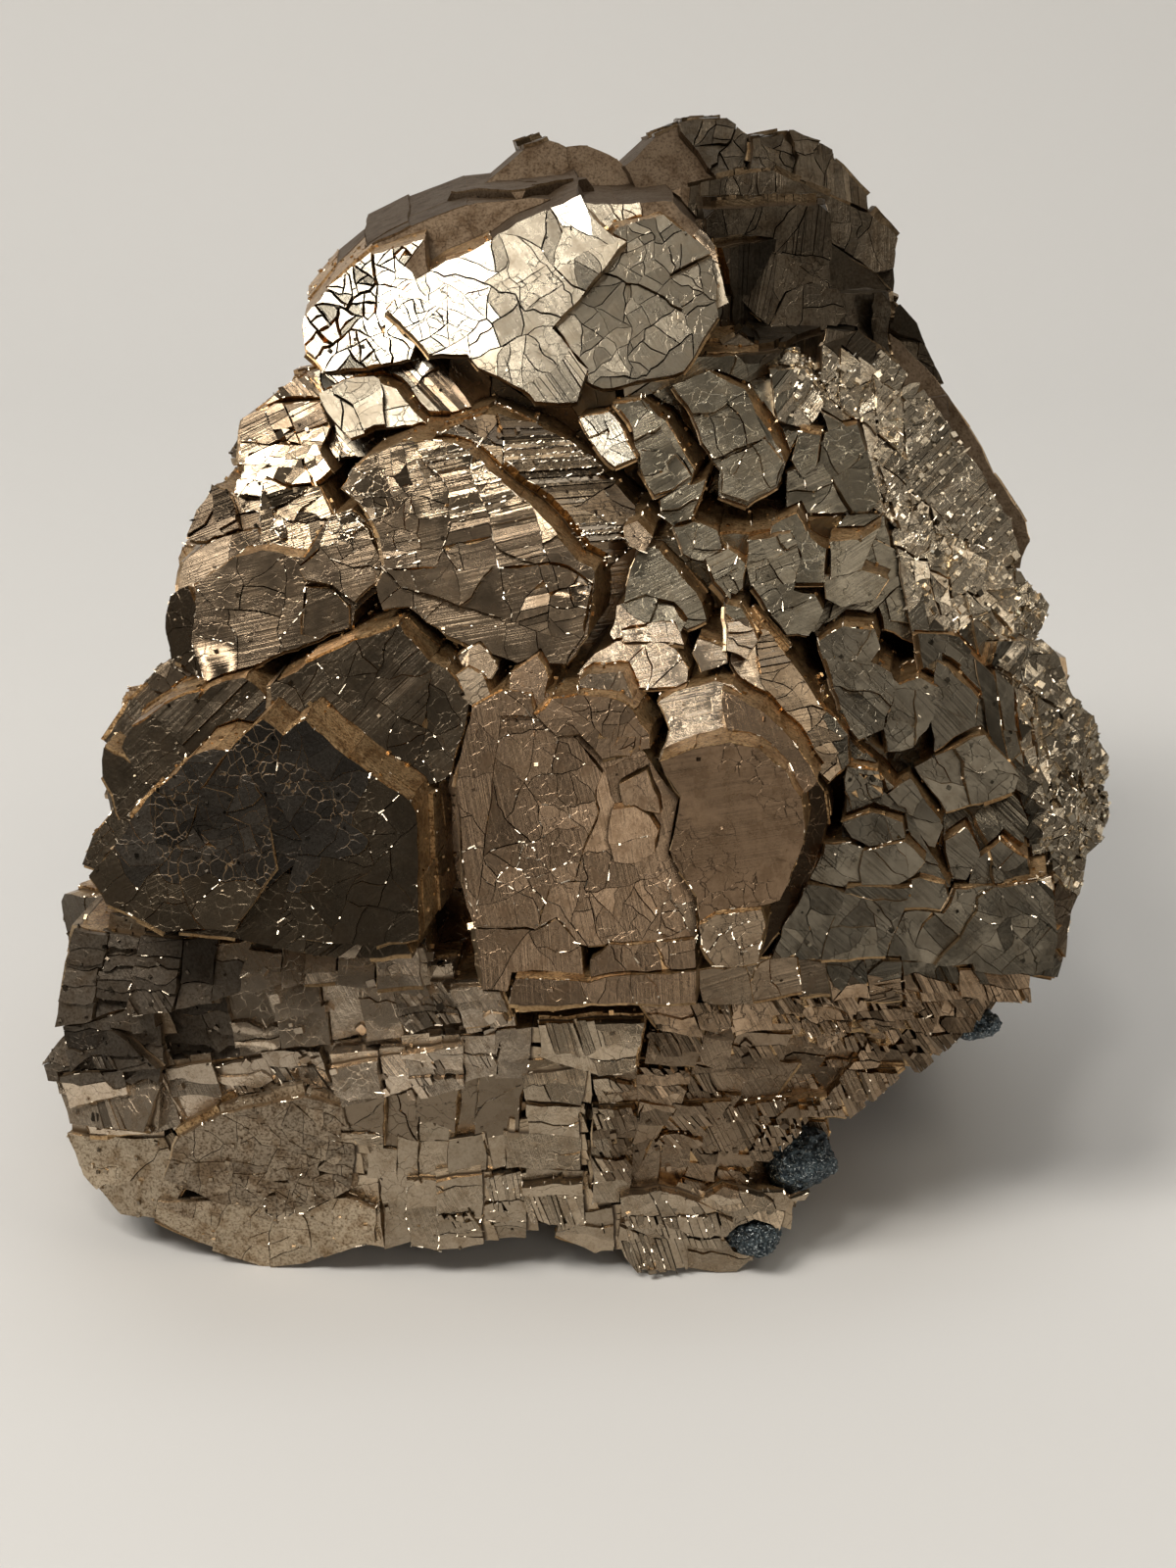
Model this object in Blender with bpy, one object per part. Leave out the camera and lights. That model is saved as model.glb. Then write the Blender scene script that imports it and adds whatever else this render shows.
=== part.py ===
"""Pyrite specimen: one intergrown mass of stepped pyrite crystals with three patches of
blue-black hematite set in its right-hand foot.

The broad face of the mass is a stack of terraces. Each terrace is a flat crystal plate whose
outline is laid out on a leaning face plane: across (to the right), up (the slope) and out (towards
the front), in millimetres. An outline is carried along its line of sight from one sighting point to
the plane of its own plate, so plates at different depths keep the places they have on the face.
World axes: X across, -Y to the front, +Z up, and the broken base lies on Z = 0.
"""

import math
import random
from collections import namedtuple

import bmesh
import bpy
from mathutils import Matrix, Vector

# Driving dimensions, in millimetres and degrees.
MM = 0.001
FACE_LEAN = 25.0  # the face plane leans back from the vertical by this much
FACE_HEIGHT = 57.5  # height of the face plane's centre over the base
FACE_ACROSS = 1.16  # the centre's place along X
FACE_BACK = -25.12  # and along Y
SIGHT = 380.0  # from the face plane's centre to the sighting point
FLARE = 1.04  # a crystal widens this much from its plate to its root
POCKET_GAP = 0.42  # clearance between a hematite patch and its pocket
BASE_CUT = 60.0  # height of the block that cuts the base flat
BASE_REACH = 400.0  # and its sides
SEED = 11

Mineral = namedtuple("Mineral", "colour metallic roughness")
PYRITE = Mineral((0.36, 0.31, 0.23), 1.0, 0.32)
HEMATITE = Mineral((0.045, 0.06, 0.085), 0.9, 0.35)

ACROSS = Vector((1, 0, 0))
UP = Vector((0, math.sin(math.radians(FACE_LEAN)), math.cos(math.radians(FACE_LEAN))))
OUT = Vector((0, -math.cos(math.radians(FACE_LEAN)), math.sin(math.radians(FACE_LEAN))))
CENTRE = Vector((FACE_ACROSS, FACE_BACK, FACE_HEIGHT))
EYE = CENTRE + OUT * SIGHT

# A crystal plate: how far it stands out, its slope across and up, and its outline.
Plate = namedtuple("Plate", "name out across up outline")
# A row of blocks between two lines, with its stand-out and slopes at the left and right ends.
Course = namedtuple("Course", "name out across up blocks slant top bottom")

# Silhouette of the mass, clockwise from the lower left.
SILHOUETTE = [
    (-46, -67), (-60, -62), (-69, -57), (-73, -49), (-76, -39), (-74, -30), (-72, -20),
    (-71, -12), (-68, -3), (-68, 5), (-61, 15), (-58, 22), (-57, 31), (-52, 43), (-48, 51),
    (-40, 59), (-38, 66), (-31, 75), (-24, 79), (-16, 85), (-6, 91), (5, 88), (12, 93), (20, 94),
    (35, 89), (43, 78), (43, 69), (50, 57), (57, 44), (61, 37), (63, 25), (64, 19), (70, 9),
    (72, 3), (71, -8), (67, -20), (64, -28), (50, -34), (38, -43), (28, -57), (20, -67), (4, -67),
    (-10, -64), (-30, -64),
]

CROWN = [
    Plate("crown_face", 5, 0.02, -0.22, [
        (-25.5, 70), (-20, 73.5), (-13.5, 76.5), (-10, 79), (-1, 82.8), (0.3, 80), (3.5, 77),
        (5.5, 76), (-1, 68), (-5, 64), (0, 58), (-1.5, 53.5), (-7.5, 53.5), (-9.5, 55.5),
        (-15.5, 58.5), (-17, 60.3), (-22.5, 60.2), (-28.5, 66.5)]),
    Plate("crown_face_right", 3.6, -0.06, -0.2, [
        (-7, 64), (-3, 71), (4, 78), (10.5, 80), (14.5, 77), (18, 73.5), (18.5, 66), (13.5, 58),
        (9.5, 57), (5, 56), (2, 55.5), (-3, 58)]),
    Plate("crown_face_lobe", 6, -0.02, -0.16, [
        (-12, 62), (-6, 66), (-3, 62), (0, 58), (-1.5, 53.5), (-7.5, 53.5), (-9.5, 55.5),
        (-15.5, 58.8)]),
    Plate("crown_left", 0, 0.42, -0.26, [
        (-40, 65.5), (-36, 70.5), (-30.5, 75), (-23, 77), (-22, 68), (-25, 60), (-31, 58.5),
        (-37, 58), (-39.8, 61)]),
    Plate("crown_shelf", -6, 0.1, -0.3, [
        (-31, 76), (-25, 79), (-17, 82), (-8, 83), (4, 82), (12, 82.5), (18, 76), (20, 68),
        (4, 60), (-20, 62), (-34, 68)]),
]

BACK_CROWN = [
    Plate("rear_knob", -27, 0.0, -0.3, [
        (-16, 84), (-9, 90), (-5.5, 91.2), (-3, 90.2), (0, 90.4), (4, 88.6), (8, 84), (2, 76),
        (-14, 76)]),
    Plate("rear_top", -25, -0.05, -0.35, [
        (5.2, 87.6), (9.5, 91.6), (14, 93.2), (19.5, 93.6), (23.5, 91), (24, 84), (14, 80),
        (7, 84)]),
    Plate("rear_top_right", -24, -0.25, -0.3, [
        (23, 91), (28.5, 91.8), (34.3, 89.4), (34.5, 88), (39.2, 83), (39.5, 80), (32, 76),
        (22, 80)]),
    Plate("rear_shelf", -19, -0.1, -0.12, [
        (10, 83.5), (18, 85), (26, 86.5), (34, 83), (39.8, 80.8), (43.8, 77.5), (43.3, 73),
        (32, 70), (16, 72)]),
    Plate("rear_block", -14, -0.2, -0.08, [
        (15, 79.5), (20, 81.5), (26, 81), (33, 77.5), (40, 73), (43, 70), (41, 66.5), (36, 66),
        (31, 63), (26, 63.5), (22.5, 67.5), (18, 72.5)]),
    Plate("rear_block_face", -11.5, -0.12, 0.02, [
        (19, 75), (23, 76.5), (29, 74), (34, 71), (35.5, 66), (31, 63), (25.5, 64.5), (21, 69)]),
    Plate("rear_disc", -10, -0.05, 0.0, [
        (25.5, 64.5), (28, 69.5), (32, 71), (35.5, 70), (36.5, 66.5), (33.5, 62.5), (28, 62)]),
    Plate("rear_side", -21, -0.4, -0.1, [
        (36, 72), (43, 73), (43, 68), (46, 65), (47.3, 62), (50, 56.5), (40, 56), (34, 64)]),
]

SHOULDER_LEFT = [
    Plate("left_ledge_top", 2, 0.12, -0.35, [
        (-48, 52), (-41, 57), (-34, 59.4), (-25, 62), (-21.5, 59), (-15.5, 52), (-20, 47),
        (-36, 46), (-48, 46)]),
    Plate("left_ledge", 8, 0.1, -0.3, [
        (-38, 54.8), (-34, 56.5), (-30, 57), (-27, 55.8), (-24.5, 52.5), (-22.5, 50.5),
        (-26, 50.5), (-30, 50), (-33.5, 48.5), (-36, 51)]),
    Plate("left_bricks", 4, 0.3, -0.2, [
        (-48.5, 51.5), (-44, 53.6), (-38, 54), (-36.5, 50.5), (-38, 47.5), (-43, 47),
        (-49.5, 45)]),
    Plate("left_teeth", 8, 0.2, -0.3, [
        (-48.5, 46), (-44, 48), (-38, 47.5), (-36, 44), (-39, 41.5), (-46, 40.5), (-50, 41)]),
    Plate("left_pane", 11.5, 0.12, -0.14, [
        (-46, 43), (-42, 41.5), (-38, 42), (-36, 37.5), (-38.5, 33), (-42, 32), (-46.5, 34.5)]),
    Plate("left_tier", 6, 0.35, -0.2, [
        (-52.5, 42), (-50, 41), (-46, 40), (-45, 34), (-52, 34), (-56.5, 34.5), (-55, 38.5)]),
    Plate("left_step", 9, 0.35, -0.2, [
        (-57.3, 31.5), (-53, 34.5), (-47, 36), (-44, 33), (-46, 28), (-56, 24.5), (-58.5, 24)]),
]

MIDDLE = [
    Plate("great_plate", 21.5, 0.0, -0.14, [
        (-33.5, 44.5), (-31, 46.5), (-26, 48.5), (-21, 48.5), (-17, 47), (-14, 44), (-10, 40.5),
        (-5, 36), (-1.5, 31.5), (1, 30), (0.8, 27), (0, 21), (-3, 16.8), (-10, 17), (-16.5, 19.5),
        (-20, 21), (-25.5, 25), (-29, 24.5), (-30, 28), (-28.8, 31), (-29.5, 35), (-31.5, 38.5),
        (-35, 42)]),
    Plate("great_plate_lower", 22.6, 0.02, -0.08, [
        (-29, 30.5), (-21.5, 30.5), (-20.5, 33), (-18.5, 30), (-5.5, 31), (-2.8, 30.4), (0.6, 28),
        (-0.6, 21), (-3, 17.5), (-10, 18), (-16.5, 20), (-24, 25)]),
    Plate("left_plate", 17, 0.1, -0.08, [
        (-55.5, 28), (-50, 32), (-46, 33), (-40, 32), (-36.5, 37.6), (-33.5, 38.6), (-30.5, 36),
        (-28.9, 31), (-29.4, 27.5), (-33, 24.5), (-33.5, 22), (-40, 19.5), (-46, 17),
        (-54, 14), (-56, 20)]),
    Plate("left_plate_tile", 18.2, 0.12, -0.05, [
        (-40, 28), (-36.5, 27.8), (-33.8, 25), (-33.8, 22.5), (-38, 20.4), (-40.5, 21)]),
    Plate("left_plate_slab", 18.4, 0.06, -0.12, [
        (-41, 30.5), (-38, 33), (-36.5, 37), (-33.5, 38), (-31, 35.8), (-29.2, 31.5), (-29.6, 28.6),
        (-33, 25.6), (-36, 28), (-40, 28.8)]),
    Plate("left_flank", 11, 0.7, -0.1, [
        (-58.6, 26.5), (-56, 28), (-54, 22), (-53, 14), (-58.5, 17.5), (-59.3, 22)]),
    Plate("left_slope", 8, 0.55, -0.5, [
        (-68.5, 6), (-65, 11.5), (-60, 16.5), (-57, 17.5), (-53, 14), (-60, 10), (-66, 4)]),
]

SADDLE = [
    Plate("dark_ledge", 26.5, 0.02, -0.06, [
        (-45, 14), (-40, 17), (-33, 20.4), (-26.6, 22.6), (-24.5, 20), (-22.5, 17.5), (-20, 16.2),
        (-18.5, 14.5), (-16.8, 11.5), (-17.2, 9), (-19.3, 1.5), (-22, 0), (-30, 0), (-38, 4),
        (-45, 8)]),
    Plate("dark_ledge_left", 22, 0.14, -0.1, [
        (-64.5, 8), (-60, 11), (-55, 13), (-51, 14.5), (-48.5, 15), (-45.5, 12.6), (-44.5, 8),
        (-48, 3), (-55, 0), (-63, 0), (-66, 5)]),
    Plate("far_left_ledge", 16, 0.3, -0.1, [
        (-68.6, 5.2), (-65, 3), (-60, 5), (-56, 6), (-53, 5), (-56, -3), (-64, -6), (-66.2, -5),
        (-68.8, 1)]),
    Plate("slope_foot", 12, 0.5, -0.3, [
        (-67, -3.5), (-63, -4), (-62, -14), (-71.5, -11.5), (-70, -7.5)]),
    Plate("dark_plate_left", 33.4, 0.16, -0.02, [
        (-64.5, -5), (-60, 0), (-56, 4), (-53, 5), (-50, 4.5), (-46, -2), (-44, -12), (-50, -21),
        (-60, -21), (-68, -17), (-70.5, -13), (-67, -9)]),
    Plate("dark_plate_middle", 34.6, 0.1, 0.0, [
        (-51, 4.3), (-46, 9.2), (-43, 6.8), (-40, 2), (-40, -10), (-46, -15.5), (-50.3, -15.5),
        (-50.6, -11), (-56, -6), (-55, -1)]),
    Plate("dark_plate_right", 35.6, 0.05, 0.0, [
        (-43.4, 6.6), (-40, 9.1), (-34, 3.8), (-25.2, -2.4), (-24.3, -4), (-24.2, -14),
        (-24, -22), (-30, -23), (-40, -22), (-43, -16), (-40.5, -8), (-44.5, -1)]),
    Plate("dark_plate_foot", 33.8, 0.08, 0.12, [
        (-54, -14), (-44, -12), (-28, -18), (-25, -24), (-31, -24.6), (-40, -23.8), (-50, -21.8),
        (-58, -21)]),
]

CENTRE_PLATES = [
    Plate("centre_plate", 27.4, 0.0, -0.03, [
        (-18.8, -0.5), (-16.5, 11), (-12, 13.4), (-6, 13), (3, 10), (9, 3), (12.8, -2), (12, -6),
        (11.4, -10), (13, -12), (15.5, -16.5), (15.2, -21.6), (0, -23), (-8, -20.8),
        (-16, -20.3), (-17.8, -14)]),
    Plate("centre_plate_raised", 28.4, 0.0, -0.02, [
        (-18.6, -0.6), (-16.4, 10.8), (-12, 13.2), (-8, 12.6), (-7.2, 9.2), (-3, 7.4), (0.5, 3.4),
        (2, 1.5), (1, -1), (1.5, -4), (-1, -10.5), (-1.8, -13.4), (-5.6, -15), (-7, -20),
        (-15.8, -20), (-17.6, -14)]),
    Plate("centre_tile", 29.2, -0.03, -0.02, [
        (4.4, 0), (8.3, 2), (10, -2), (10.3, -4.2), (8, -3.8), (5, -3)]),
    Plate("centre_disc", 29.6, -0.03, 0.0, [
        (3.4, -3.6), (6.6, -3.2), (8.6, -4.4), (10, -6.6), (9.4, -9.8), (7, -11.2), (3.6, -11),
        (2.8, -8)]),
    Plate("bench_left", 27.8, 0.0, 0.03, [
        (-16, -20.4), (-7.5, -20.7), (-4.5, -19), (-1, -23), (-0.6, -27.6), (-10.8, -26.6),
        (-11.5, -29.4), (-15, -29.2), (-15.6, -24)]),
    Plate("bench_right", 28.6, 0.0, 0.04, [
        (0.4, -24.8), (3, -22.6), (15.3, -21.9), (15.2, -27), (8, -28.5), (0.4, -27.6)]),
    Plate("bench_lip", 29.8, 0.0, 0.06, [
        (-10.3, -27.6), (0.2, -28), (6, -27), (15.3, -26.5), (15.3, -30.9), (-11.2, -31.1)]),
    Plate("upper_lozenge", 30.4, -0.02, -0.12, [
        (-7.4, 9.6), (-5, 12), (-1.5, 12.5), (4, 12), (6.4, 10.4), (8.7, 7), (8.8, 5), (6, 3.9),
        (2, 3.4), (-1.2, 7), (-4.4, 6.6)]),
    Plate("smooth_plate", 32, -0.06, -0.02, [
        (10.2, 3.2), (15, 5), (20, 6), (24, 5.2), (28, 2), (30.3, -2), (30.8, -6), (30, -10),
        (28.4, -14), (27.2, -16.5), (23.5, -17.5), (22, -20), (16, -20.5), (15.4, -16),
        (13, -12.5), (11.6, -9.5), (12.4, -5.5), (13, -2), (11, 1)]),
    Plate("smooth_plate_foot", 33, -0.05, 0.05, [
        (15.6, -20), (18, -18.5), (24.5, -17.8), (25.2, -20), (24.2, -25.4), (18, -25.8),
        (16.2, -23)]),
]

GLINTS = [
    Plate("glint_middle", 25.5, -0.05, -0.32, [
        (9.8, 11.5), (14, 13.6), (18, 14.6), (20.5, 14), (24, 10.4), (26, 8.2), (20, 6),
        (14, 5), (10, 3), (11.5, 7.5)]),
    Plate("glint_upper", 21, -0.02, -0.38, [
        (-1.6, 15.4), (1, 18.5), (4, 20.2), (10, 20.2), (12.4, 18.8), (14.2, 16.2), (14, 13.5),
        (6, 13.5)]),
    Plate("glint_small", 18.4, -0.02, -0.36, [
        (3, 21), (4, 25), (8, 26.6), (12, 25.4), (13.8, 22.8), (12, 19.4), (4, 19.6)]),
    Plate("glint_lip", 19.6, 0.0, -0.4, [
        (4.6, 21.4), (9, 22.6), (12.2, 22.8), (13.6, 19.6), (5, 19.8)]),
    Plate("grey_sail", 16.8, -0.06, -0.12, [
        (6.6, 32), (8, 33.6), (10, 33.2), (13, 29.5), (16, 25.5), (16.7, 23), (14, 21.8),
        (10, 24), (5, 25.2), (5.4, 28)]),
    Plate("grey_chip", 17.6, 0.02, -0.24, [
        (5, 36.5), (7, 37.3), (9.2, 35), (8, 32.8), (6, 33.6)]),
    Plate("glint_right", 21, -0.08, -0.3, [
        (15.6, 20.6), (19.6, 19.2), (19.8, 17.2), (16, 15.8), (14.8, 18.4)]),
    Plate("glint_edge", 20, -0.15, -0.32, [
        (19.4, 25.2), (21.6, 24.6), (24, 20), (22.4, 17.6), (19.6, 18.8)]),
    Plate("bead_left", 26.5, 0.1, -0.3, [
        (-19.2, 15.2), (-17, 16.6), (-14.8, 15.4), (-13.8, 12.6), (-15.8, 10.6), (-17.8, 12)]),
    Plate("bead_peak", 25, 0.0, -0.3, [
        (-18.6, 18.2), (-15.4, 20), (-12.6, 16.4), (-13.6, 14.8), (-17, 15.2)]),
    Plate("bead_middle", 26.8, 0.0, -0.22, [
        (-11, 15.8), (-7.2, 18.2), (-5.6, 15), (-6.2, 12), (-9.4, 12), (-11.2, 13.4)]),
    Plate("bead_low", 28, 0.0, -0.15, [
        (-13.4, 11.8), (-11, 13), (-8.8, 11.4), (-7.8, 9), (-12, 9)]),
    Plate("lozenge_back", 26.6, 0.0, -0.5, [
        (-1.4, 14.6), (0, 15.6), (5, 15.7), (6.5, 12), (0, 11.5)]),
]

UPPER_RIGHT = [
    Plate("white_pane", 10, 0.05, -0.36, [
        (-1.3, 51.6), (3, 52.5), (5, 50), (6.9, 46), (3.8, 44.6), (0.8, 48)]),
    Plate("cool_pane", 8.6, -0.02, -0.14, [
        (3.6, 53.8), (7.5, 54.4), (11, 51.4), (13, 48), (15.2, 44.5), (14.6, 42.4), (9.5, 40.4),
        (7.2, 44.4), (6.2, 50)]),
    Plate("cool_pane_low", 10, 0.0, -0.12, [
        (7.4, 47), (12.4, 46.6), (14.6, 43.6), (12, 41.6), (9.4, 40.8), (7.4, 44.6)]),
    Plate("broad_pane", 6.4, -0.06, -0.14, [
        (11.8, 56), (17, 58), (22, 55.4), (25.8, 50), (28, 45.4), (26.8, 42), (22.5, 39.2),
        (18.4, 40.6), (18.6, 44.4), (16, 48), (14.6, 52)]),
    Plate("broad_pane_tile", 7.4, -0.06, -0.1, [
        (18.8, 45.8), (22, 47.2), (25, 48.8), (27.6, 45.4), (26.6, 42.4), (22.5, 39.8),
        (18.8, 41)]),
    Plate("pebble_a", 11, -0.05, -0.12, [
        (10, 39.8), (13.6, 41.9), (16.6, 43), (15.6, 40), (14.6, 37.4), (12, 36.2), (10.2, 37.6)]),
    Plate("pebble_b", 13, -0.05, -0.12, [
        (12, 36.2), (15, 37), (18.2, 35.6), (18.8, 33), (16.2, 31.4), (13.4, 32.4)]),
    Plate("pebble_c", 13.6, -0.08, -0.1, [
        (16.4, 31.6), (19.6, 33), (22.2, 31), (21.6, 27.4), (19.8, 25.8), (17.6, 28.4)]),
    Plate("dark_facet", 12.4, -0.1, -0.1, [
        (22.6, 34.4), (28.6, 35.4), (30, 31.6), (28.9, 27.2), (32, 26.6), (33.2, 24.4),
        (31, 20.8), (28, 21), (25, 24.6), (23.2, 27.6), (22.4, 31)]),
    Plate("dark_facet_wing", 10.4, -0.1, -0.3, [
        (26, 36.6), (29.6, 38.4), (31.4, 34.6), (33.6, 33), (33.4, 28), (29, 28), (25.6, 33)]),
    Plate("upper_ridge", -2, -0.02, -0.22, [
        (12, 57.5), (21.5, 63.8), (24.5, 61.6), (29.8, 60.6), (31, 52), (28, 46), (14, 52)]),
    Plate("blue_pane", 1.6, -0.12, -0.14, [
        (32, 44.5), (33.4, 49.6), (38, 50.8), (39.2, 47), (39.6, 43), (41, 40), (38, 36.4),
        (36.4, 36), (35.6, 40)]),
    Plate("blue_chip", 4.4, -0.1, -0.1, [
        (30, 50), (33, 49.4), (32.4, 45), (30.4, 43.4), (28.8, 46)]),
    Plate("light_chip", -8, -0.08, -0.2, [
        (33.8, 64.6), (37.8, 64.2), (38.9, 60.8), (36.5, 58.4), (32.4, 60)]),
    Plate("rough_knot", 0.6, -0.1, -0.2, [
        (25.6, 58.6), (30.6, 58.6), (33.4, 53.8), (31, 50.4), (26.8, 51.2)]),
    Plate("hollow_floor", 3, -0.05, -0.1, [
        (28, 44), (33, 45), (37, 38), (42, 38), (44, 28), (36, 20), (30, 22), (28, 34)]),
    Plate("wedge_a", 9.6, -0.15, 0.1, [
        (34.2, 34.4), (38.6, 34.6), (41.4, 36.4), (38.8, 30.4), (34.4, 29)]),
    Plate("wedge_b", 8.8, -0.1, -0.05, [
        (33.4, 29.4), (38.6, 30.4), (42.6, 29), (40.8, 26.2), (36, 25), (33.8, 26.2)]),
    Plate("belt_upper", 13, -0.45, -0.5, [
        (-22, 49), (-15, 52), (-8, 50.5), (-3, 48), (2, 43), (6, 38.5), (6.6, 33.6), (1.2, 29.6),
        (-5, 35), (-12, 42)]),
]

SHOULDER_RIGHT = [
    Plate("shoulder_slab", -5, -0.14, -0.16, [
        (33, 62), (38, 64), (44, 59.4), (50, 52), (55.4, 44), (60, 37.4), (61, 31.4), (54, 29),
        (44, 34), (38, 42), (32, 52)]),
    Plate("shoulder_rim", -14, -0.35, -0.3, [
        (36.4, 65), (40, 65.6), (44.4, 62.6), (50, 56.4), (54, 50.4), (57.4, 44), (62, 37),
        (62.6, 34.6), (61, 30.6), (48, 40), (36, 56)]),
    Plate("second_slab", 1, -0.2, -0.1, [
        (43, 36), (50, 34), (58.6, 30.6), (60.6, 27), (60, 20.6), (50, 18), (42, 22),
        (40, 30)]),
    Plate("second_rim", -7, -0.5, -0.16, [
        (55, 31), (61, 30), (64.6, 25.2), (63.4, 20.8), (58, 16), (52, 22)]),
    Plate("right_rough", 4, -0.28, -0.06, [
        (57, 20), (63.4, 20.4), (66, 17.8), (67.8, 13), (70, 9.6), (69, 0), (67, -12),
        (60, -14), (56, 0), (55, 12)]),
    Plate("right_column", -6, -0.6, 0.0, [
        (66, 14), (70.8, 9.8), (71.3, 6.4), (73, 3.8), (72.3, 0), (72.8, -4), (71.8, -8),
        (69.8, -10), (69.2, -14), (67.8, -18), (67.2, -23), (66.2, -27.4), (60, -27), (60, 6)]),
]

RIGHT_FACE = [
    Plate("slate_plate", 16.4, -0.08, -0.08, [
        (32.4, 20), (36, 22.2), (40.2, 21.6), (41, 19), (39.6, 17), (42.6, 15.4), (43.2, 13),
        (41.6, 7.6), (38, 6), (35.4, 10.4), (34, 15)]),
    Plate("slate_plate_right", 14.8, -0.1, -0.06, [
        (41, 16.8), (44, 14), (47, 15), (49.6, 13.6), (48.6, 9.4), (45.6, 5), (42, 4.4),
        (41, 10)]),
    Plate("slate_chip", 12.4, -0.15, -0.06, [
        (49.4, 17.4), (51, 16.6), (55.4, 12), (55, 8.6), (49, 4.6), (48.4, 10)]),
    Plate("slate_shelf", 8, -0.2, -0.1, [
        (46, 21), (52, 20.6), (58, 14), (60, 6), (56, 4), (48, 8)]),
    Plate("lined_plate", 13.4, -0.08, 0.02, [
        (46.2, 2.4), (49, 4), (53, 6), (55.6, 7), (58, 4.2), (60.6, 1), (60, -1), (55, -2.6),
        (50.6, -4), (48.5, -1)]),
    Plate("dark_rhomb", 18.4, -0.06, -0.02, [
        (42.2, -1.4), (45.4, 0.8), (50.2, -6), (49, -9), (46.8, -8.4), (44.4, -4)]),
    Plate("gold_shelf", 12, -0.1, -0.3, [
        (50, -3.6), (60, -1.4), (62, -6), (60, -14), (50, -14)]),
    Plate("low_facet_a", 16, -0.1, 0.0, [
        (50.4, -8), (53.4, -6), (55.4, -10), (53.4, -13.6), (51.4, -13.4)]),
    Plate("low_facet_b", 15.6, -0.14, 0.02, [
        (55.2, -10.6), (58.4, -8), (62.2, -10.6), (63, -15), (56, -15.4), (54, -14)]),
    Plate("corner_plate", 17.4, -0.12, 0.05, [
        (44.6, -18), (50, -18.2), (51.8, -14.8), (58, -14.4), (65, -13), (65.8, -20),
        (65.4, -25.8), (62, -27), (54.4, -27), (53.8, -25.2), (50, -25.6), (42, -24.6),
        (43.6, -20)]),
    Plate("tab_a", 21.6, -0.04, -0.02, [
        (36.6, 2.4), (41, 1.8), (41.8, -1.6), (37.4, -3.6), (36.4, -1)]),
    Plate("tab_b", 22.8, -0.04, 0.02, [
        (35.8, -5.4), (40, -4), (44.6, -5.4), (45, -7.6), (40, -9), (37.2, -7.6)]),
    Plate("tab_c", 22.4, -0.03, 0.02, [
        (33.2, -8.4), (36.6, -8.2), (39.2, -9.2), (39.2, -13.6), (36.8, -15), (31.2, -14.2),
        (31.8, -11)]),
    Plate("tab_d", 24, -0.06, 0.03, [
        (39, -9.4), (45, -8.2), (47.8, -11), (46.2, -13), (43, -14.8), (38.8, -14.8),
        (38.4, -12)]),
    Plate("tab_e", 24.4, -0.02, 0.06, [
        (31, -14), (36.2, -15.2), (35.4, -19), (33.2, -24.6), (25.8, -24.8), (27.4, -20),
        (29.2, -17)]),
    Plate("tab_f", 25.4, -0.05, 0.06, [
        (36.6, -14.8), (43, -14.8), (45.8, -14.6), (44.8, -17.6), (43.8, -20), (42.2, -24.4),
        (33, -24.9), (34.4, -20)]),
    Plate("tab_g", 21.8, -0.08, 0.04, [
        (43, -14.2), (47, -13.2), (50.6, -14.2), (51, -16), (50, -17.8), (44.4, -17.6)]),
    Plate("riser_layers", 25.2, -0.5, 0.0, [
        (28, 4.6), (31, 2.6), (33.4, -1), (34, -5), (33, -10), (30.6, -15), (27, -21),
        (24, -25), (22, -20), (28, -8)]),
]

UPPER_PLATES = [
    Plate("gold_ridge", 19.5, -0.2, -0.36, [
        (20, 24.6), (22.4, 24.4), (27.6, 17.8), (32.6, 10.6), (36.6, 6.6), (36.8, 2.6), (34, 0),
        (29, 5), (24, 10.4), (20, 17)]),
    Plate("gold_ridge_low", 19, -0.1, -0.2, [
        (37, 6.2), (40.4, 3.2), (43.6, -1.6), (51.4, -14.6), (46, -15), (36, -8)]),
    Plate("slope_steps", 27.6, -0.1, -0.3, [
        (19, 13.4), (24.6, 10.4), (29.4, 5.6), (32.6, 0.4), (30, -2), (24, 4), (19.6, 8)]),
]

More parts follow.
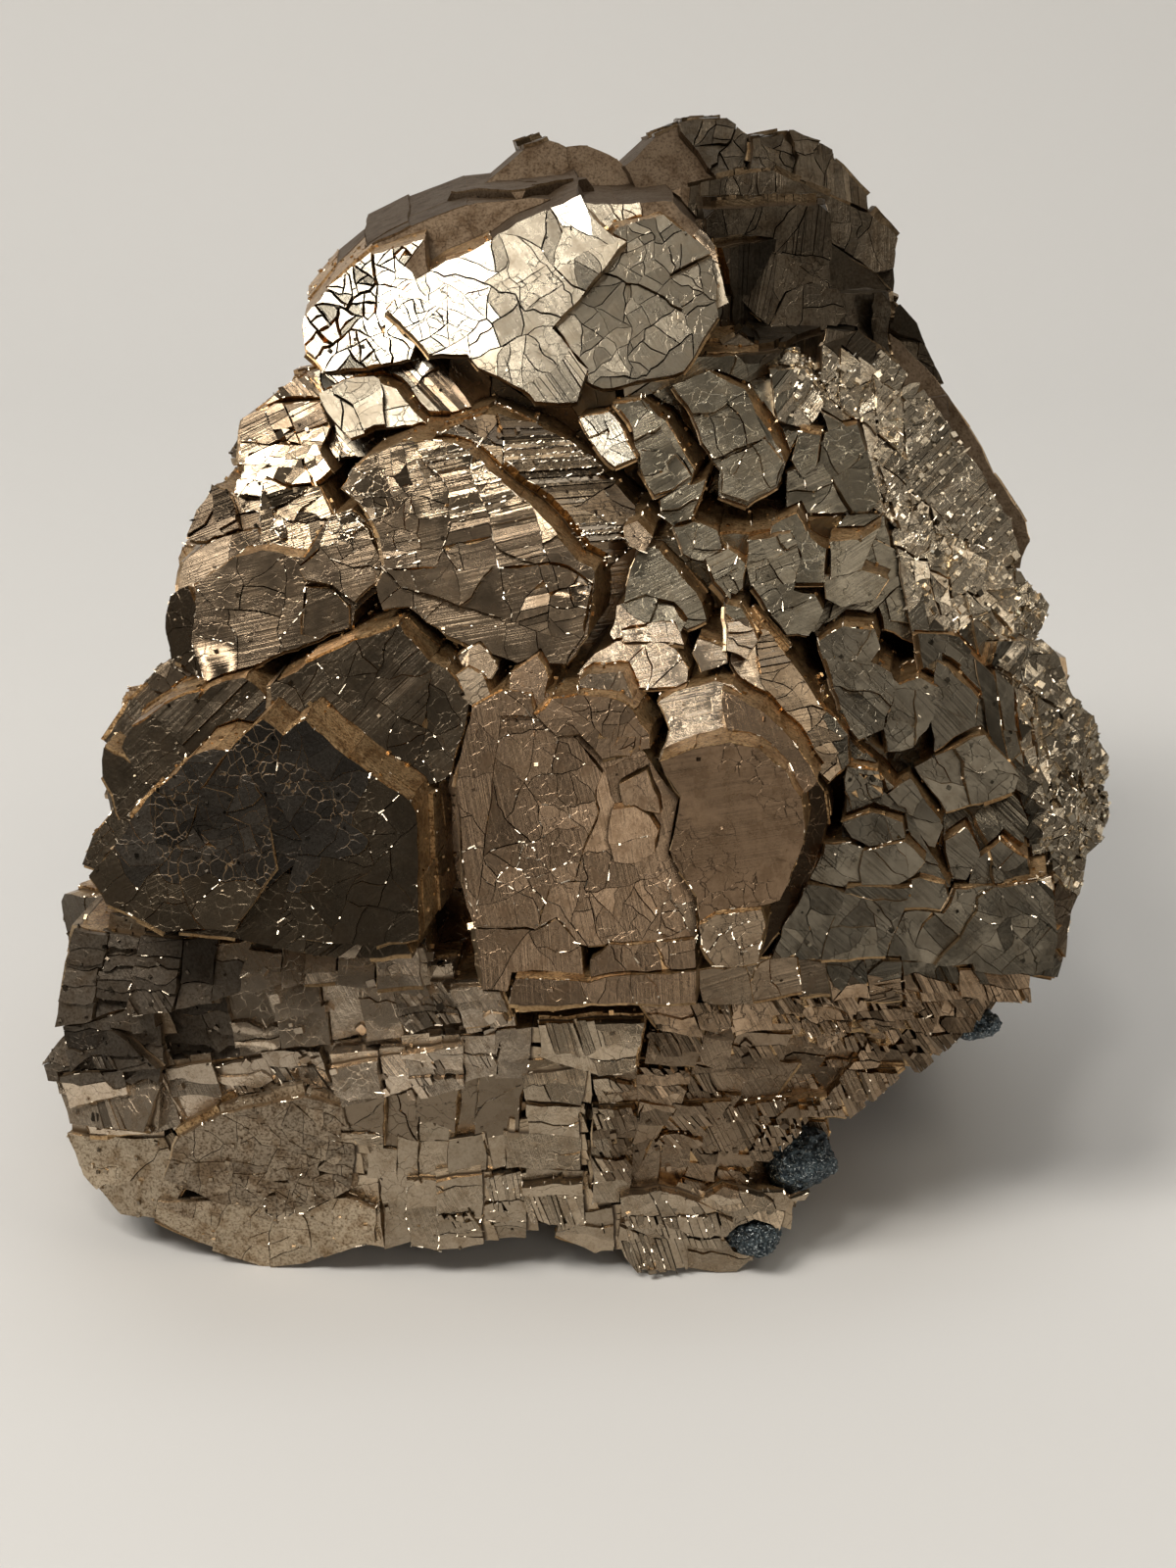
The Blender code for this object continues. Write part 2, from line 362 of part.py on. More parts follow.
FOOT = [
    Plate("worn_foot", 16.5, 0.1, 0.5, [
        (-58, -50), (-52, -46.6), (-40, -44), (-34.6, -45.4), (-33, -51), (-33.6, -57),
        (-40, -60.4), (-52, -59.4), (-60, -55.6)]),
    Plate("foot_corner", 7.5, 0.42, 0.3, [
        (-73.2, -49), (-68.5, -49.6), (-60, -50), (-56, -56), (-60, -61.5), (-66, -60.8),
        (-71, -55)]),
    Plate("foot_edge", 10.2, 0.14, 0.52, [
        (-61, -59), (-48, -58.6), (-34, -58.2), (-30, -60), (-30, -64.6), (-35, -65.8),
        (-40, -67.6), (-46, -68), (-55, -65), (-61.5, -62)]),
    Plate("left_point", 13, 0.45, 0.12, [
        (-76.2, -39.4), (-72.8, -34), (-66, -34.6), (-60, -40), (-62, -49), (-73, -48)]),
    Plate("window_pane", 23.5, 0.0, 0.4, [
        (-7, -33.4), (8, -32.8), (6.6, -40), (1.4, -40.6), (-2.6, -39.6), (-4, -39.2),
        (-6.8, -38.4)]),
    Plate("pane_block", 22.2, 0.0, 0.4, [(-9.4, -41), (0, -40.2), (-1, -45), (-9, -44.2)]),
    Plate("column_a", 19.8, -0.02, 0.45, [(-8.8, -44.8), (-1, -45.2), (-1.2, -49.4), (-8.4, -48.8)]),
    Plate("column_b", 17.6, 0.0, 0.45, [(-12, -49.2), (-1, -49.6), (-1, -54), (-11.6, -54)]),
    Plate("column_c", 13.8, 0.0, 0.45, [
        (-9.6, -54.6), (-0.6, -54.8), (-0.4, -61.4), (-4, -61.6), (-9, -60.6)]),
    Plate("column_d", 11.2, 0.0, 0.5, [
        (-4, -60.6), (0.5, -60.2), (3.4, -59.6), (3.8, -66), (1, -66.4), (-4.6, -64)]),
    Plate("knob_foot", 10.6, -0.04, 0.45, [
        (4.4, -57.4), (10, -56.6), (16, -58.8), (20.4, -60.4), (19, -66.4), (14, -67.4),
        (7, -67.8), (4.2, -65)]),
    Plate("heel", 10, -0.05, 0.32, [
        (14, -59), (19, -56), (24, -57.4), (31.4, -57.2), (30.6, -58.4), (28.6, -58.6),
        (27, -62.6), (24.6, -65.6), (23, -67), (20.4, -68.9), (14, -68)]),
    Plate("knob_seat", 3, -0.1, 0.4, [
        (20, -47), (33.6, -47.6), (34, -50), (32.6, -54), (30.4, -58), (20, -58)]),
    Plate("ledge_seat", 4.4, -0.2, 0.3, [
        (46, -29), (58, -30.6), (56.6, -32.6), (53.6, -35.2), (49, -36)]),
]

COURSES = [
    Course("dark_row_a", (15, 31), (0.3, 0.05), 0.1, 10, 0.5,
           [(-71.5, -20), (-60, -21.6), (-48, -22.4), (-24, -23)],
           [(-74.5, -33.6), (-57, -31), (-45, -28), (-24, -28.6)]),
    Course("dark_row_b", (12, 26.5), (0.3, 0.03), 0.3, 9, 0.6,
           [(-73, -34), (-57, -31), (-45, -28), (-12, -28.4)],
           [(-72, -41.4), (-60, -40.2), (-45, -37.6), (-12, -32.6)]),
    Course("dark_row_c", (11, 22.6), (0.3, 0.02), 0.4, 9, 0.5,
           [(-73.6, -41), (-60, -40.4), (-45, -38), (-10, -33)],
           [(-71, -50.2), (-60, -48.6), (-45, -43), (-10, -39.4)]),
    Course("shelf_row", (22.4, 23), (0.02, 0.0), 0.4, 5, 0.2,
           [(-36, -40), (-22, -37), (-8, -35)],
           [(-34.4, -44.8), (-22, -42.6), (-9, -40.4)]),
    Course("tan_row_a", (19, 19.6), (0.04, 0.0), 0.45, 5, 0.0,
           [(-34.6, -45), (-22, -43), (-9, -41)], [(-34.6, -50.6), (-22, -50.8), (-10, -49)]),
    Course("tan_row_b", (16.2, 16.8), (0.04, 0.0), 0.5, 6, 0.0,
           [(-36, -50.4), (-22, -50.6), (-11, -49.4)], [(-36, -56), (-22, -55.6), (-11, -54)]),
    Course("tan_row_c", (11.6, 13), (0.04, 0.0), 0.5, 5, 0.0,
           [(-35, -56), (-22, -55.4), (-9, -54)], [(-34, -64.6), (-20, -64.8), (-9, -63.6)]),
    Course("split_row_a", (26.6, 15), (0.0, -0.2), 0.1, 7, 0.4,
           [(16, -26), (30, -24.8), (46, -25.4), (62.4, -27.4)],
           [(16, -30.8), (30, -30), (46, -30), (62, -30.4)]),
    Course("split_row_b", (26, 12), (0.0, -0.2), 0.14, 8, 0.6,
           [(8.6, -30.6), (24, -30), (40, -29.8), (58, -30)],
           [(9.6, -35), (24, -35.4), (40, -35), (53, -34)]),
    Course("split_row_c", (23.8, 11), (0.0, -0.15), 0.3, 7, 0.6,
           [(9.4, -34.6), (24, -35), (40, -34.6), (53, -34.4)],
           [(8, -39.8), (24, -40), (36, -40), (46, -39.4)]),
    Course("split_row_d", (21, 11), (0.0, -0.1), 0.4, 6, 0.5,
           [(1.6, -41.4), (8, -39.4), (24, -39.6), (45, -40)],
           [(1.4, -45.6), (12, -45.4), (28, -46.4), (36, -47.4)]),
    Course("split_row_e", (17.8, 13.4), (0.0, -0.08), 0.45, 5, 0.2,
           [(1, -45.4), (16, -45), (34, -45)], [(1, -50.6), (16, -50.8), (25, -52)]),
    Course("split_row_f", (14.6, 11), (0.0, -0.06), 0.45, 5, 0.3,
           [(0.8, -50.4), (14, -50.4), (24.6, -49.6)], [(0.6, -57.6), (14, -59), (20.6, -60.4)]),
    Course("shoulder_row_a", (-3, -9), (-0.12, -0.25), -0.12, 9, 0.9,
           [(37, 61.6), (46, 54), (55, 42), (60, 36.6)], [(35, 54), (44, 46), (52, 36), (59, 30.6)]),
    Course("shoulder_row_b", (1, -4), (-0.12, -0.2), -0.1, 8, 0.9,
           [(34, 53), (43, 45), (52, 36), (58, 31)], [(36, 44), (42, 36), (50, 30), (57, 25)]),
    Course("shoulder_row_c", (4.4, 0), (-0.12, -0.22), -0.08, 7, 0.8,
           [(41.6, 35), (50, 30), (57, 25), (60, 22)], [(42, 24), (49, 20), (56, 16), (61, 13)]),
    Course("right_row", (8, 2), (-0.2, -0.35), -0.04, 5, 0.6,
           [(56, 17), (60, 14), (67, 10)], [(57, 3), (61, -2), (68, -6)]),
]

# How far the blocks of a row reach back and which way they lean; how their widths, slants, edges,
# stand-outs and slopes differ; and how far each laps over its left and right neighbours.
COURSE_DEPTH = 22
COURSE_DRIFT = (0.04, 0.2)
BLOCK_WIDTHS = (0.6, 1.5)
BLOCK_SLANTS = (0.4, 1.6)
BLOCK_LAPS = (-0.3, 0.2)
EDGE_STRAY = (-0.6, 0.9)
OUT_STRAY = 1.3
SLOPE_STRAY = 0.08

# A slab of the solid core between two heights, and a ring of crystals round the back. Their
# middles lie across and behind the face plane's centre.
Slab = namedtuple("Slab", "foot top across behind half_across half_deep turn taper")
Ring = namedtuple("Ring", "height across behind half_across half_deep start end blocks size")
CORE_SIDES = 9
CORE = [
    Slab(-6, 33, -12, 12, 47, 38, 12, 1.0),
    Slab(27, 71, 0, 17, 60, 40, 31, 0.97),
    Slab(65, 93, 1, 33, 54, 33, 5, 0.93),
    Slab(88, 113, 3, 46, 40, 27, 22, 0.9),
    Slab(108, 125, 4, 54, 30, 22, 0, 0.9),
]
REAR_RINGS = [
    Ring(9, -10, 12, 46, 37, -100, 100, 8, 30),
    Ring(30, -4, 16, 54, 44, -105, 105, 8, 30),
    Ring(52, 0, 20, 60, 46, -100, 100, 8, 32),
    Ring(74, 1, 28, 55, 42, -95, 95, 8, 30),
    Ring(94, 2, 40, 43, 34, -95, 95, 7, 27),
    Ring(112, 6, 50, 31, 27, -95, 100, 6, 24),
    Ring(122, 8, 54, 18, 18, -90, 90, 4, 18),
]
# The cubes of a ring share one lattice, turned and leant by these angles, and follow the curve of
# the back a little. Each strays from its place and size, and shrinks until it is in the silhouette.
LATTICE_TURN = 0.42
LATTICE_LEAN = -0.2
LATTICE_FOLLOW = 0.25
LATTICE_STRAY = 0.1
RING_STRAY = 0.06
RING_REACH = (0.94, 1.04)
HEIGHT_STRAY = 4
BLOCK_SIZES = (0.75, 1.3)
BLOCK_REACH = 0.6
SHRINK = 0.92
LEAST_BLOCK = 9
CORNER_CUT = (0.7, 0.84)  # how far out a cube's corners are cut: 0.866 leaves them whole

# The zones: plates, how far their crystals reach back, and the way they lean on the way: to the
# right and up, per unit of depth.
ZONES = [
    (CROWN, 30, (-0.05, 0.36)), (BACK_CROWN, 15, (-0.1, 0.2)), (SHOULDER_LEFT, 28, (0.1, 0.3)),
    (MIDDLE, 30, (0.16, 0.34)), (SADDLE, 30, (0.16, 0.34)), (CENTRE_PLATES, 30, (0.16, 0.34)),
    (GLINTS, 26, (0.16, 0.34)), (UPPER_RIGHT, 24, (0.16, 0.34)), (UPPER_PLATES, 26, (0.16, 0.34)),
    (SHOULDER_RIGHT, 22, (-0.1, 0.1)), (RIGHT_FACE, 26, (0.14, 0.24)), (FOOT, 26, (0.06, 0.1)),
]

# A patch of hematite: where its middle lies, its half sizes across, up and out, and its seed.
Patch = namedtuple("Patch", "name across up out half_across half_up half_out seed")
PATCHES = [
    Patch("hematite_knob", 29.8, -53.2, 7.2, 5.6, 4.7, 6.0, 5),
    Patch("hematite_foot", 23.5, -64.3, 10.2, 3.9, 2.6, 3.6, 8),
    Patch("hematite_ledge", 54.2, -33.9, 7.4, 4.4, 2.4, 4.2, 13),
]
LUMP_UNEVENNESS = (0.86, 1.08)
LUMP_DETAIL = 2


def place(across, up, out):
    """The world point, in millimetres, on the sight line through a face point, at a stand-out."""
    ray = ACROSS * across + UP * up - OUT * SIGHT
    return EYE + ray * ((SIGHT - out) / SIGHT)


def on_plane(across, up, anchor, normal):
    """Where the sight line through a face point meets a plane."""
    ray = ACROSS * across + UP * up - OUT * SIGHT
    return EYE + ray * ((anchor - EYE).dot(normal) / ray.dot(normal))


def new_object(name, mesh_data, collection):
    mesh = bpy.data.meshes.new(name)
    mesh_data.to_mesh(mesh)
    mesh_data.free()
    obj = bpy.data.objects.new(name, mesh)
    collection.objects.link(obj)
    return obj


def crystal(plate, depth, drift, collection):
    """A plate's crystal: its outline on its own plane, carried back into the mass with a flare."""
    middle_across = sum(p[0] for p in plate.outline) / len(plate.outline)
    middle_up = sum(p[1] for p in plate.outline) / len(plate.outline)
    anchor = place(middle_across, middle_up, plate.out)
    normal = OUT - ACROSS * plate.across - UP * plate.up
    front = [on_plane(a, u, anchor, normal) for a, u in plate.outline]
    middle = sum(front, Vector()) / len(front)
    root = (ACROSS * drift[0] + UP * drift[1] - OUT) * depth
    bm = bmesh.new()
    face = bm.faces.new([bm.verts.new(p * MM) for p in front])
    grown = bmesh.ops.extrude_face_region(bm, geom=[face])
    rear = [v for v in grown["geom"] if isinstance(v, bmesh.types.BMVert)]
    spread = Matrix.Translation(middle * MM) @ Matrix.Scale(FLARE, 4)
    spread = spread @ Matrix.Translation(-middle * MM)
    bmesh.ops.transform(bm, matrix=spread, verts=rear)
    bmesh.ops.translate(bm, vec=root * MM, verts=rear)
    bmesh.ops.recalc_face_normals(bm, faces=bm.faces)
    return new_object(plate.name, bm, collection)


def height_on(line, across):
    """The height of a polyline at a place across."""
    for (a0, u0), (a1, u1) in zip(line, line[1:]):
        if across <= a1 or (a1, u1) == line[-1]:
            return u0 + (u1 - u0) * (across - a0) / (a1 - a0)
    return line[-1][1]


def along(line, share):
    """The point of a polyline at a share of its way across."""
    across = line[0][0] + (line[-1][0] - line[0][0]) * share
    return across, height_on(line, across)


def between(ends, share):
    """The value at a share of the way between two ends."""
    return ends[0] + (ends[1] - ends[0]) * share


def course_plates(course, rng):
    """The blocks of a row as plates, each a little wider, narrower, prouder or more tilted."""
    shares = [0.0]
    for _ in range(course.blocks):
        shares.append(shares[-1] + rng.uniform(*BLOCK_WIDTHS))
    plates = []
    for index, (start, end) in enumerate(zip(shares, shares[1:])):
        start, end = start / shares[-1], end / shares[-1]
        middle = (start + end) / 2
        slant = course.slant * rng.uniform(*BLOCK_SLANTS)
        left, right = BLOCK_LAPS
        corners = []
        for line, share, lap, side in ((course.top, start, left, -1), (course.top, end, right, -1),
                                       (course.bottom, end, right, 1),
                                       (course.bottom, start, left, 1)):
            across, up = along(line, share)
            corners.append((across + lap + side * slant, up - side * rng.uniform(*EDGE_STRAY)))
        out = between(course.out, middle) + rng.uniform(-OUT_STRAY, OUT_STRAY)
        across = between(course.across, middle) + rng.uniform(-SLOPE_STRAY, SLOPE_STRAY)
        up = course.up + rng.uniform(-SLOPE_STRAY, SLOPE_STRAY)
        plates.append(Plate(f"{course.name}_{index}", out, across, up, corners))
    return plates


def inset_distance(across, up):
    """How far a face point lies inside the silhouette; negative outside it."""
    nearest = 1e9
    inside = False
    for (a0, u0), (a1, u1) in zip(SILHOUETTE, SILHOUETTE[1:] + SILHOUETTE[:1]):
        da, du = a1 - a0, u1 - u0
        t = max(0.0, min(1.0, ((across - a0) * da + (up - u0) * du) / (da * da + du * du)))
        nearest = min(nearest, math.hypot(across - a0 - t * da, up - u0 - t * du))
        if (u0 > up) != (u1 > up) and across < a0 + (up - u0) * da / du:
            inside = not inside
    return nearest if inside else -nearest


def seen_at(point):
    """The face point and stand-out at which a world point is sighted."""
    ray = point - EYE
    reach = -ray.dot(OUT)
    return ray.dot(ACROSS) * SIGHT / reach, ray.dot(UP) * SIGHT / reach, SIGHT - reach


def block(name, centre, size, turn, corner_cut, collection):
    """A cubic crystal with its corners cut off, as pyrite's cube and octahedron faces meet."""
    bm = bmesh.new()
    bmesh.ops.create_cube(bm, size=1.0)
    for sx in (-1, 1):
        for sy in (-1, 1):
            for sz in (-1, 1):
                normal = Vector((sx, sy, sz)).normalized()
                bmesh.ops.bisect_plane(
                    bm, geom=bm.verts[:] + bm.edges[:] + bm.faces[:],
                    plane_co=normal * corner_cut, plane_no=normal, clear_outer=True)
                bmesh.ops.holes_fill(bm, edges=[e for e in bm.edges if e.is_boundary])
    bmesh.ops.scale(bm, vec=Vector(size) * MM, verts=bm.verts)
    bmesh.ops.transform(bm, matrix=turn, verts=bm.verts)
    bmesh.ops.translate(bm, vec=centre * MM, verts=bm.verts)
    bmesh.ops.recalc_face_normals(bm, faces=bm.faces)
    return new_object(name, bm, collection)


def core_slab(name, slab, collection):
    """A many-sided slab of solid ore that ties the crystals together."""
    bm = bmesh.new()
    bmesh.ops.create_cone(bm, cap_ends=True, segments=CORE_SIDES, radius1=1, radius2=slab.taper,
                          depth=1)
    bmesh.ops.rotate(bm, matrix=Matrix.Rotation(math.radians(slab.turn), 3, "Z"), verts=bm.verts)
    height = slab.top - slab.foot
    bmesh.ops.scale(bm, vec=Vector((slab.half_across, slab.half_deep, height)) * MM, verts=bm.verts)
    centre = Vector((CENTRE.x + slab.across, CENTRE.y + slab.behind, (slab.top + slab.foot) / 2))
    bmesh.ops.translate(bm, vec=centre * MM, verts=bm.verts)
    return new_object(name, bm, collection)


def rear_blocks(rng, collection):
    """Rings of intergrown cubes round the back and sides, kept inside the silhouette."""
    made = 0
    for ring in REAR_RINGS:
        for step in range(ring.blocks):
            angle = math.radians(ring.start + (ring.end - ring.start) * step / (ring.blocks - 1))
            angle += rng.uniform(-RING_STRAY, RING_STRAY)
            reach = rng.uniform(*RING_REACH)
            centre = Vector((
                CENTRE.x + ring.across + ring.half_across * math.sin(angle) * reach,
                CENTRE.y + ring.behind + ring.half_deep * math.cos(angle) * reach,
                ring.height + rng.uniform(-HEIGHT_STRAY, HEIGHT_STRAY)))
            size = [ring.size * rng.uniform(*BLOCK_SIZES) for _ in range(3)]
            strays = [rng.uniform(-LATTICE_STRAY, LATTICE_STRAY) for _ in range(3)]
            turn = Matrix.Rotation(LATTICE_TURN - angle * LATTICE_FOLLOW + strays[0], 4, "Z")
            lean = Matrix.Rotation(LATTICE_LEAN + strays[1], 4, "X")
            roll = Matrix.Rotation(strays[2], 4, "Y")
            while size[0] > LEAST_BLOCK:
                across, up, _ = seen_at(centre)
                if inset_distance(across, up) > max(size) * BLOCK_REACH:
                    break
                size = [side * SHRINK for side in size]
            else:
                continue
            made += 1
            block(f"rear_{made}", centre, size, turn @ lean @ roll,
                  rng.uniform(*CORNER_CUT), collection)


def lump(name, patch, clearance, collection):
    """A rounded, uneven lump; a clearance makes the cutter of its pocket."""
    rng = random.Random(patch.seed)
    bm = bmesh.new()
    bmesh.ops.create_icosphere(bm, subdivisions=LUMP_DETAIL, radius=1)
    for vert in bm.verts:
        vert.co *= rng.uniform(*LUMP_UNEVENNESS)
    axes = Matrix((ACROSS * patch.half_across, UP * patch.half_up, OUT * patch.half_out))
    axes = axes.transposed().to_4x4()
    axes.translation = place(patch.across, patch.up, patch.out)
    bmesh.ops.transform(bm, matrix=axes, verts=bm.verts)
    bmesh.ops.recalc_face_normals(bm, faces=bm.faces)
    bm.normal_update()
    for vert, normal in [(vert, vert.normal.copy()) for vert in bm.verts]:
        vert.co = (vert.co + normal * clearance) * MM
    return new_object(name, bm, collection)


def boolean(target, name, operation, cutter=None, group=None):
    """Adds an exact Boolean to an object, with one other object or with a whole collection."""
    made = target.modifiers.new(name, "BOOLEAN")
    made.operation = operation
    made.solver = "EXACT"
    if group:
        made.operand_type = "COLLECTION"
        made.collection = group
    else:
        made.object = cutter


def bake(obj):
    """Puts the shape that an object's modifiers make into its own mesh."""
    graph = bpy.context.evaluated_depsgraph_get()
    baked = bpy.data.meshes.new_from_object(obj.evaluated_get(graph))
    obj.modifiers.clear()
    obj.data = baked


def finish(obj, mineral):
    """Gives an object its own material."""
    made = bpy.data.materials.new(obj.name)
    made.use_nodes = True
    shader = made.node_tree.nodes["Principled BSDF"]
    shader.inputs["Base Color"].default_value = (*mineral.colour, 1)
    shader.inputs["Metallic"].default_value = mineral.metallic
    shader.inputs["Roughness"].default_value = mineral.roughness
    obj.data.materials.clear()
    obj.data.materials.append(made)


def keep_main_body(obj):
    """Deletes the sealed voids and loose chips left among the crystals, which are bodies apart."""
    bm = bmesh.new()
    bm.from_mesh(obj.data)
    bodies = []
    waiting = set(bm.verts)
    while waiting:
        body = set()
        edge = [waiting.pop()]
        while edge:
            vert = edge.pop()
            body.add(vert)
            reached = {link.other_vert(vert) for link in vert.link_edges} & waiting
            waiting -= reached
            edge.extend(reached)
        bodies.append(body)
    bodies.sort(key=len)
    loose = [vert for body in bodies[:-1] for vert in body]
    bmesh.ops.delete(bm, geom=loose, context="VERTS")
    bm.to_mesh(obj.data)
    bm.free()


def new_collection(name):
    made = bpy.data.collections.new(name)
    bpy.context.scene.collection.children.link(made)
    return made


def grow_crystals(collection):
    """Every crystal of the mass, each a closed solid that overlaps its neighbours."""
    rng = random.Random(SEED)
    for index, slab in enumerate(CORE):
        core_slab(f"core_{index}", slab, collection)
    for plates, depth, drift in ZONES:
        for plate in plates:
            crystal(plate, depth, drift, collection)
    for course in COURSES:
        for plate in course_plates(course, rng):
            crystal(plate, COURSE_DEPTH, COURSE_DRIFT, collection)
    rear_blocks(rng, collection)


def main():
    for obj in list(bpy.data.objects):
        bpy.data.objects.remove(obj)
    specimen = new_collection("pyrite_specimen")
    crystals = new_collection("crystals")
    cutters = new_collection("cutters")

    grow_crystals(crystals)
    pyrite = crystals.objects[0]
    pyrite.name = "pyrite"
    crystals.objects.unlink(pyrite)
    specimen.objects.link(pyrite)
    boolean(pyrite, "grown_together", "UNION", group=crystals)
    bake(pyrite)
    for obj in list(crystals.objects):
        bpy.data.objects.remove(obj)
    bpy.data.collections.remove(crystals)

    half = BASE_CUT / 2
    block("base_cutter", Vector((0, 0, -half)), (BASE_REACH, BASE_REACH, BASE_CUT),
          Matrix.Identity(4), 1.0, cutters)
    for patch in PATCHES:
        finish(lump(patch.name, patch, 0.0, specimen), HEMATITE)
        lump(patch.name + "_pocket", patch, POCKET_GAP, cutters)
    for cutter in cutters.objects:
        cutter.hide_render = True
        cutter.display_type = "WIRE"
        boolean(pyrite, cutter.name, "DIFFERENCE", cutter=cutter)
    bake(pyrite)
    keep_main_body(pyrite)
    finish(pyrite, PYRITE)


main()
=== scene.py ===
"""Looks of the pyrite specimen: cracked and striated crystal faces, glittering druse and dark
hematite crusts, on a pale floor in soft studio light.

Places on the stepped face are given as across and up, on the leaning face plane that the
crystals were laid out on. Lengths are in millimetres, apart from those of the paper and the
lamps, which are in metres.
"""
import math
import random
from collections import defaultdict, namedtuple

import bmesh
import bpy
import numpy as np
from mathutils import Matrix, Vector, noise


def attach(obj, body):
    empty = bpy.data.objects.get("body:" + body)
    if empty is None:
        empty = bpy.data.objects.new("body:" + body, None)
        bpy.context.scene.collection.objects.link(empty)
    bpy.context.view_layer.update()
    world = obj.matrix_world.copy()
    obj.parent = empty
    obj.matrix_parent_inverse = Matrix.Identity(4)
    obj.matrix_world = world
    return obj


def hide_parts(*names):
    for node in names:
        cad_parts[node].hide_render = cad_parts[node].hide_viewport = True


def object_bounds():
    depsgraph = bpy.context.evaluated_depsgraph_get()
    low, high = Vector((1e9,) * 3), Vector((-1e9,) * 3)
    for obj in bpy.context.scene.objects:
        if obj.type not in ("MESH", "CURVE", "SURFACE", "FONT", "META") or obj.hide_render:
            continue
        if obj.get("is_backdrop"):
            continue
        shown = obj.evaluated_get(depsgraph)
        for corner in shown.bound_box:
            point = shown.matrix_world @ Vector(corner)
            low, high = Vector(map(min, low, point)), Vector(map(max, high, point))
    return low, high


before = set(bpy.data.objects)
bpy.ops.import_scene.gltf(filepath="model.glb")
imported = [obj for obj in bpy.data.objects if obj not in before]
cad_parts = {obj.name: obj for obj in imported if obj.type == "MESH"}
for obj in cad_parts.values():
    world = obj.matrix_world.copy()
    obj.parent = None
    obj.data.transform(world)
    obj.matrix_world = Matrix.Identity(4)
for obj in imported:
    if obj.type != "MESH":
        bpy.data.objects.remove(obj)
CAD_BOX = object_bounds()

# The face plane, in millimetres and degrees, as the crystals were laid out.
MM = 0.001
FACE_LEAN = math.radians(25)
FACE_CENTRE = Vector((1.16, -25.12, 57.5))
SIGHT = 380.0
ACROSS = Vector((1, 0, 0))
UP = Vector((0, math.sin(FACE_LEAN), math.cos(FACE_LEAN)))
OUT = Vector((0, -math.cos(FACE_LEAN), math.sin(FACE_LEAN)))
EYE = FACE_CENTRE + OUT * SIGHT
VIEW_HEIGHT = 222.2  # how much of the face plane the camera takes in

